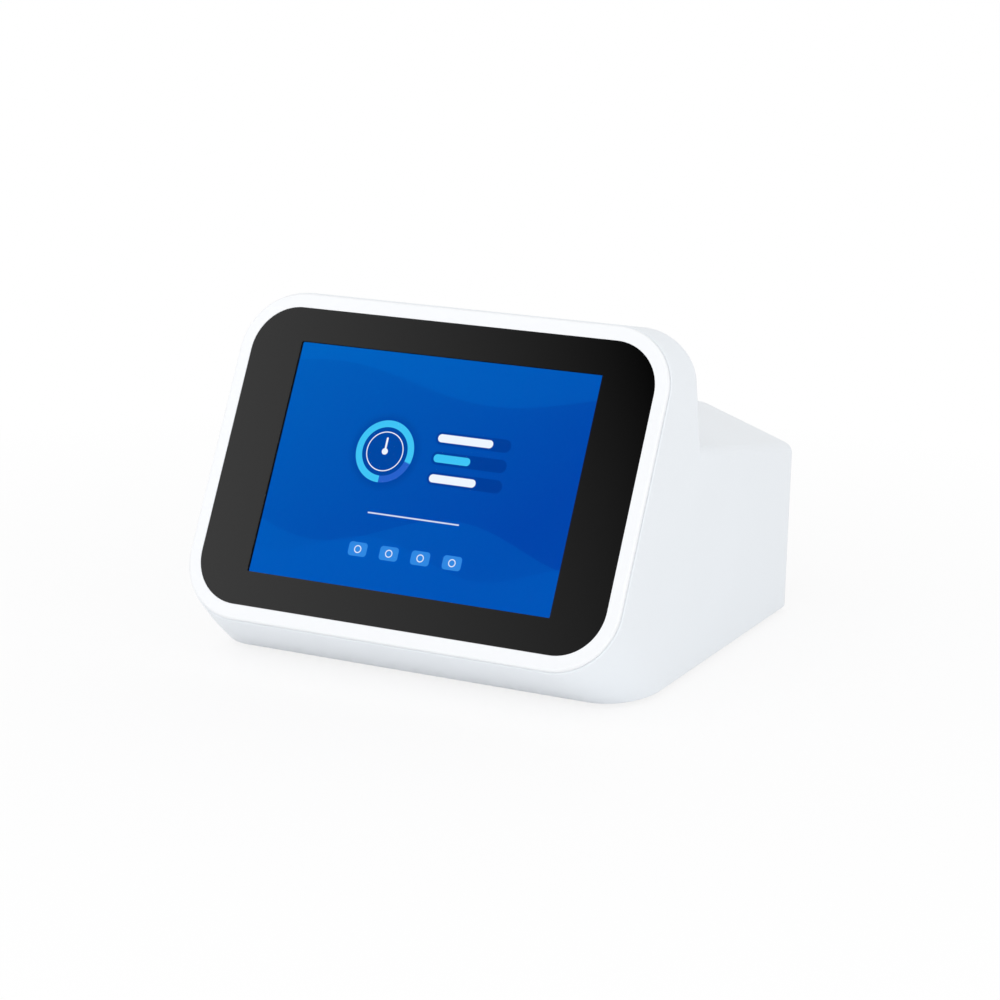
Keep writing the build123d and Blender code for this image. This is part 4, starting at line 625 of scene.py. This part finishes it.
def on_rocker(along, proud):
    """A place on the rocker's face, and the face's tilt there about the upright axis."""
    side = 1 if along > 0 else -1
    out = crown_height - abs(along) * crown_fall / face_half_width + proud
    u = along * cos(rocker_rest) - out * sin(rocker_rest)
    w = along * sin(rocker_rest) + out * cos(rocker_rest)
    return rocker_pivot + Vector((-u, w, 0)), side * face_fall - rocker_rest


place, lean_there = on_rocker(sign_from_middle, sign_proud)
bar = start("cube", "rocker_mark_on", size=(0.0008, 0.0044, 0.0002))
soften(bar, 0.00008)
bar.data.transform(Matrix.Translation(place) @ Matrix.Rotation(lean_there, 4, "Z")
                   @ Matrix.Rotation(radians(-90), 4, "X"))
finish_piece(bar, "rocker", print_white)
place, lean_there = on_rocker(-sign_from_middle, sign_proud)
ring = start("torus", "rocker_mark_off", major_radius=0.0017, minor_radius=0.0003, major_segments=48,
             minor_segments=12)
ring.data.transform(Matrix.Translation(place) @ Matrix.Rotation(lean_there, 4, "Z")
                    @ Matrix.Rotation(radians(-90), 4, "X") @ Matrix.Diagonal((1, 1, 0.4, 1)))
bpy.ops.object.shade_smooth()
finish_piece(ring, "rocker", print_white)


# Fuses: glass tubes with a plated cap pushed on each end.
# The caps are pieces of their own, each with a rolled rim.
fuse_glass, tree, shader = new_material("fuse glass")
smear = add(tree, "TexNoise", None, Vector=add(tree, "TexCoord").outputs["Object"], Scale=400.0, Detail=3.0)
put(tree, shader.inputs["Roughness"], add(tree, "MapRange", None, smear.outputs[0], 0.4, 0.7, 0.01, 0.06))
shader.inputs["Base Color"].default_value = (0.93, 0.97, 0.96, 1)
shader.inputs["Transmission Weight"].default_value = 1.0
shader.inputs["IOR"].default_value = 1.5
dress(fuse_glass, "fuses")
plated = metal("plated cap", (0.72, 0.70, 0.66), 0.18, (300, 5000, 300), ())
low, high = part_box("fuses")
fuse_radius = (high[2] - low[2]) / 2
cap_length = 0.005
caps = []
for x in (low[0] + fuse_radius, high[0] - fuse_radius):
    for y in (low[1] + cap_length / 2, high[1] - cap_length / 2):
        cap = start("cylinder", "cap", (x, y, low[2] + fuse_radius), (radians(90), 0, 0), vertices=40,
                    radius=fuse_radius + 0.00002, depth=cap_length)
        soften(cap, 0.0005, 3)
        caps.append(cap)
finish_piece(join("fuse_caps", *caps), "drawer", plated)


# Data sockets: plated shells. The contacts inside them are gilded strips, in rows made by an array.
# The network socket has two small light windows under its opening.
gilt = metal("gilded contact", (0.80, 0.58, 0.22), 0.2, (300, 300, 300), ())


def contact_row(name, count, pitch, first, size):
    """A row of thin strips from first towards -x, each with rounded edges."""
    strip = start("cube", name, first, size=size)
    soften(strip, min(size) * 0.3, 2)
    modify(strip, "ARRAY", count=count, use_relative_offset=False, use_constant_offset=True,
           constant_offset_displace=(-pitch, 0, 0))
    finish_piece(strip, "case", gilt)


low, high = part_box("lan_socket")
middle_x = (low[0] + high[0]) / 2
contact_inset, network_pitch, usb_pitch = 0.006, 0.00102, 0.0025
contact_row("network_contacts", 8, network_pitch,
            (middle_x + 3.5 * network_pitch, high[1] - contact_inset, low[2] + 0.0113),
            (0.00045, 0.009, 0.0003))
low_u, high_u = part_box("usb_sockets")
usb_x = (low_u[0] + high_u[0]) / 2
for number, height in enumerate((0.00412, 0.01272), 1):
    contact_row(f"usb_contacts_{number}", 4, usb_pitch,
                (usb_x + 1.5 * usb_pitch, high_u[1] - contact_inset, low_u[2] + height),
                (0.001, 0.008, 0.0002))
for number, (shift, colour) in enumerate(((-0.0053, (0.05, 0.5, 0.1)), (0.0053, (0.75, 0.4, 0.03))), 1):
    window_material, tree, shader = new_material(f"light window {number}")
    use_group(tree, shader, moulded, Colour=(*colour, 1), Roughness=0.15, Grain_size=0.0005,
              Grain_depth=0.000004, Clouding=0.05)
    lens = start("cube", f"network_light_{number}", (middle_x + shift, high[1], low[2] + 0.0022),
                 size=(0.0028, 0.0003, 0.0016))
    soften(lens, 0.0001, 3)
    finish_piece(lens, "case", window_material)


# Gas ports: the supply plug and the grooved sleeve in turned stainless steel, the coupling nickel plated.
# The exhaust silencer is sintered bronze, its skin a mass of small fused beads, with painted shade
# darkening the pores between them.
metal("turned stainless", (0.60, 0.60, 0.61), 0.24, (500, 6000, 500), ("supply_nipple", "port_sleeve"))
metal("nickel-plated brass", (0.72, 0.69, 0.62), 0.18, (500, 6000, 500), ("test_port_body",))
bronze, tree, shader = new_material("sintered bronze", metallic=1.0)
place = add(tree, "TexCoord").outputs["Object"]
beads = add(tree, "TexVoronoi", None, Vector=place, Scale=1500.0)
# Painted shade: the bronze turns dark away from each bead's middle, in the low pores between the beads.
pore_shade_mask = add(tree, "MapRange", None, beads.outputs["Distance"], 0.1, 0.7, 0, 1)
put(tree, shader.inputs["Base Color"],
    add(tree, "MixRGB", None, pore_shade_mask, (0.58, 0.40, 0.20, 1), (0.16, 0.10, 0.05, 1)))
put(tree, shader.inputs["Roughness"], add(tree, "MapRange", None, pore_shade_mask, 0, 1, 0.4, 0.7))
put(tree, shader.inputs["Normal"], add(tree, "Bump", {"invert": True}, Strength=1.0, Distance=0.0001,
                                       Height=beads.outputs["Distance"]))
dress(bronze, "exhaust_silencer")

port_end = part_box("test_port_body")[1][1]
for name, node, inset, radius in (
    ("test_port_seal", "test_port_body", 0.006, 0.0041),
    ("supply_seal", "supply_nipple", 0.0065, 0.0035),
):
    low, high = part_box(node)
    middle = ((low[0] + high[0]) / 2, port_end - inset, (low[2] + high[2]) / 2)
    seal = start("torus", name, middle, (radians(90), 0, 0), major_radius=radius, minor_radius=0.0005,
                 major_segments=48, minor_segments=12)
    bpy.ops.object.shade_smooth()
    finish_piece(seal, "case", rubber)


# Printer case: dark grey frame, bucket and lid, moulded with a coarser texture than the shell.
# The lid is a touch smoother, because hands polish it.
dark_grey, tree, shader = new_material("dark grey moulding")
use_group(tree, shader, moulded, Colour=(0.075, 0.08, 0.088, 1), Roughness=0.5, Grain_size=0.0008,
          Grain_depth=0.00003, Clouding=0.06)
dress(dark_grey, "printer_bezel", "printer_bucket")
lid_grey, tree, shader = new_material("dark grey lid")
use_group(tree, shader, moulded, Colour=(0.085, 0.09, 0.098, 1), Roughness=0.4, Grain_size=0.0008,
          Grain_depth=0.00002, Clouding=0.06)
dress(lid_grey, "printer_lid")
metal("ground pin steel", (0.60, 0.60, 0.62), 0.2, (90, 3500, 3500),
      ("lid_hinge_pin", "platen_shaft", "feed_motor"), stain=0.04)
metal("tear bar steel", (0.66, 0.67, 0.68), 0.26, (4200, 120, 120), ("tear_bar",), stain=0.05)
metal("finned head plate", (0.68, 0.69, 0.70), 0.34, (70, 2600, 2600), ("print_head",))


# Gears: natural acetal, moulded. It is a warm white that light enters a little.
# The feed motor's pinion is the same.
acetal, tree, shader = new_material("natural acetal")
use_group(tree, shader, moulded, Colour=(0.80, 0.78, 0.70, 1), Roughness=0.36, Grain_size=0.0008,
          Grain_depth=0.000008, Clouding=0.05)
shader.inputs["Subsurface Weight"].default_value = 0.15
shader.inputs["Subsurface Scale"].default_value = 0.001
dress(acetal, "platen_gear", "idler_gear", "motor_pinion")


# Paper: a wound roll on a card core. Its ends show the edges of the turns.
# The turns are drawn from the distance to the roll's own axis.
low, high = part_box("paper_roll")
axis_y, axis_z = (low[1] + high[1]) / 2, (low[2] + high[2]) / 2


def wound(name, colour, dark, node, turns):
    """A material with turns round the roll's axis."""
    made, tree, shader = new_material(name)
    place = add(tree, "TexCoord").outputs["Object"]
    off = add(tree, "VectorMath", {"operation": "SUBTRACT"}, place, (0, axis_y, axis_z))
    flat = add(tree, "VectorMath", {"operation": "MULTIPLY"}, off, (0, 1, 1))
    radius = add(tree, "VectorMath", {"operation": "LENGTH"}, flat).outputs["Value"]
    edge = add(tree, "TexNoise", {"noise_dimensions": "1D"}, W=radius, Scale=turns, Detail=2.0)
    fibre = add(tree, "TexNoise", None, Vector=place, Scale=1800.0, Detail=3.0)
    mixed = add(tree, "Math", {"operation": "MULTIPLY"}, edge.outputs[0], fibre.outputs[0])
    share = add(tree, "MapRange", None, mixed, 0.12, 0.4, 1, 0)
    put(tree, shader.inputs["Base Color"], add(tree, "MixRGB", None, share, colour, dark))
    rough = add(tree, "MapRange", None, fibre.outputs[0], 0.3, 0.7, 0.55, 0.75)
    put(tree, shader.inputs["Roughness"], rough)
    relief = add(tree, "Bump", None, Strength=0.5, Distance=0.00003, Height=mixed)
    put(tree, shader.inputs["Normal"], relief)
    dress(made, node)


wound("thermal paper", (0.84, 0.84, 0.82, 1), (0.66, 0.66, 0.64, 1), "paper_roll", 9000.0)
wound("card core", (0.42, 0.32, 0.21, 1), (0.25, 0.18, 0.11, 1), "paper_core", 5000.0)


# Printer keys: two satin grey caps. Each has a common sign, printed white and a little raised.
# A triangle over a bar opens the lid, and a plain triangle feeds the paper.
key_grey, tree, shader = new_material("satin grey key")
use_group(tree, shader, moulded, Colour=(0.21, 0.23, 0.26, 1), Roughness=0.36, Grain_size=0.0006,
          Grain_depth=0.00001, Clouding=0.03)
dress(key_grey, "release_button", "feed_key")
deck_slope = radians(9.9)
deck_out = Vector((0, sin(deck_slope), cos(deck_slope)))
deck_down = Vector((0, cos(deck_slope), -sin(deck_slope)))
pin_low, pin_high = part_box("lid_hinge_pin")
pin_middle = (Vector(pin_low) + Vector(pin_high)) / 2
pin_y, pin_z = 0.041, 0.0008
key_y, key_top, mark_height = -0.041, 0.003, 0.0002
release_x, feed_x = 0.022, -0.022


def on_deck(x, y, z):
    """A place in the printer's own axes: x to the right, y down the deck, z out of it."""
    return pin_middle + Vector((x, 0, 0)) + (y - pin_y) * deck_down + (z - pin_z) * deck_out


def key_mark(name, body, x, bar_width):
    """A triangle that points up the deck, with a bar under it where bar_width isn't 0."""
    mark = start("cylinder", name, (0, 0.0006, 0), vertices=3, radius=0.0022, depth=mark_height)
    soften(mark, 0.00007, 2)
    if bar_width:
        bar = start("cube", "bar", (0, -0.0018, 0), size=(bar_width, 0.0007, mark_height))
        soften(bar, 0.00007, 2)
        mark = join(name, mark, bar)
    mark.data.transform(Matrix.Translation(on_deck(x, key_y, key_top))
                        @ Matrix.Rotation(-deck_slope, 4, "X"))
    finish_piece(mark, body, print_white)


key_mark("release_key_mark", "release", release_x, 0.0038)
key_mark("feed_key_mark", "feed", feed_x, 0)
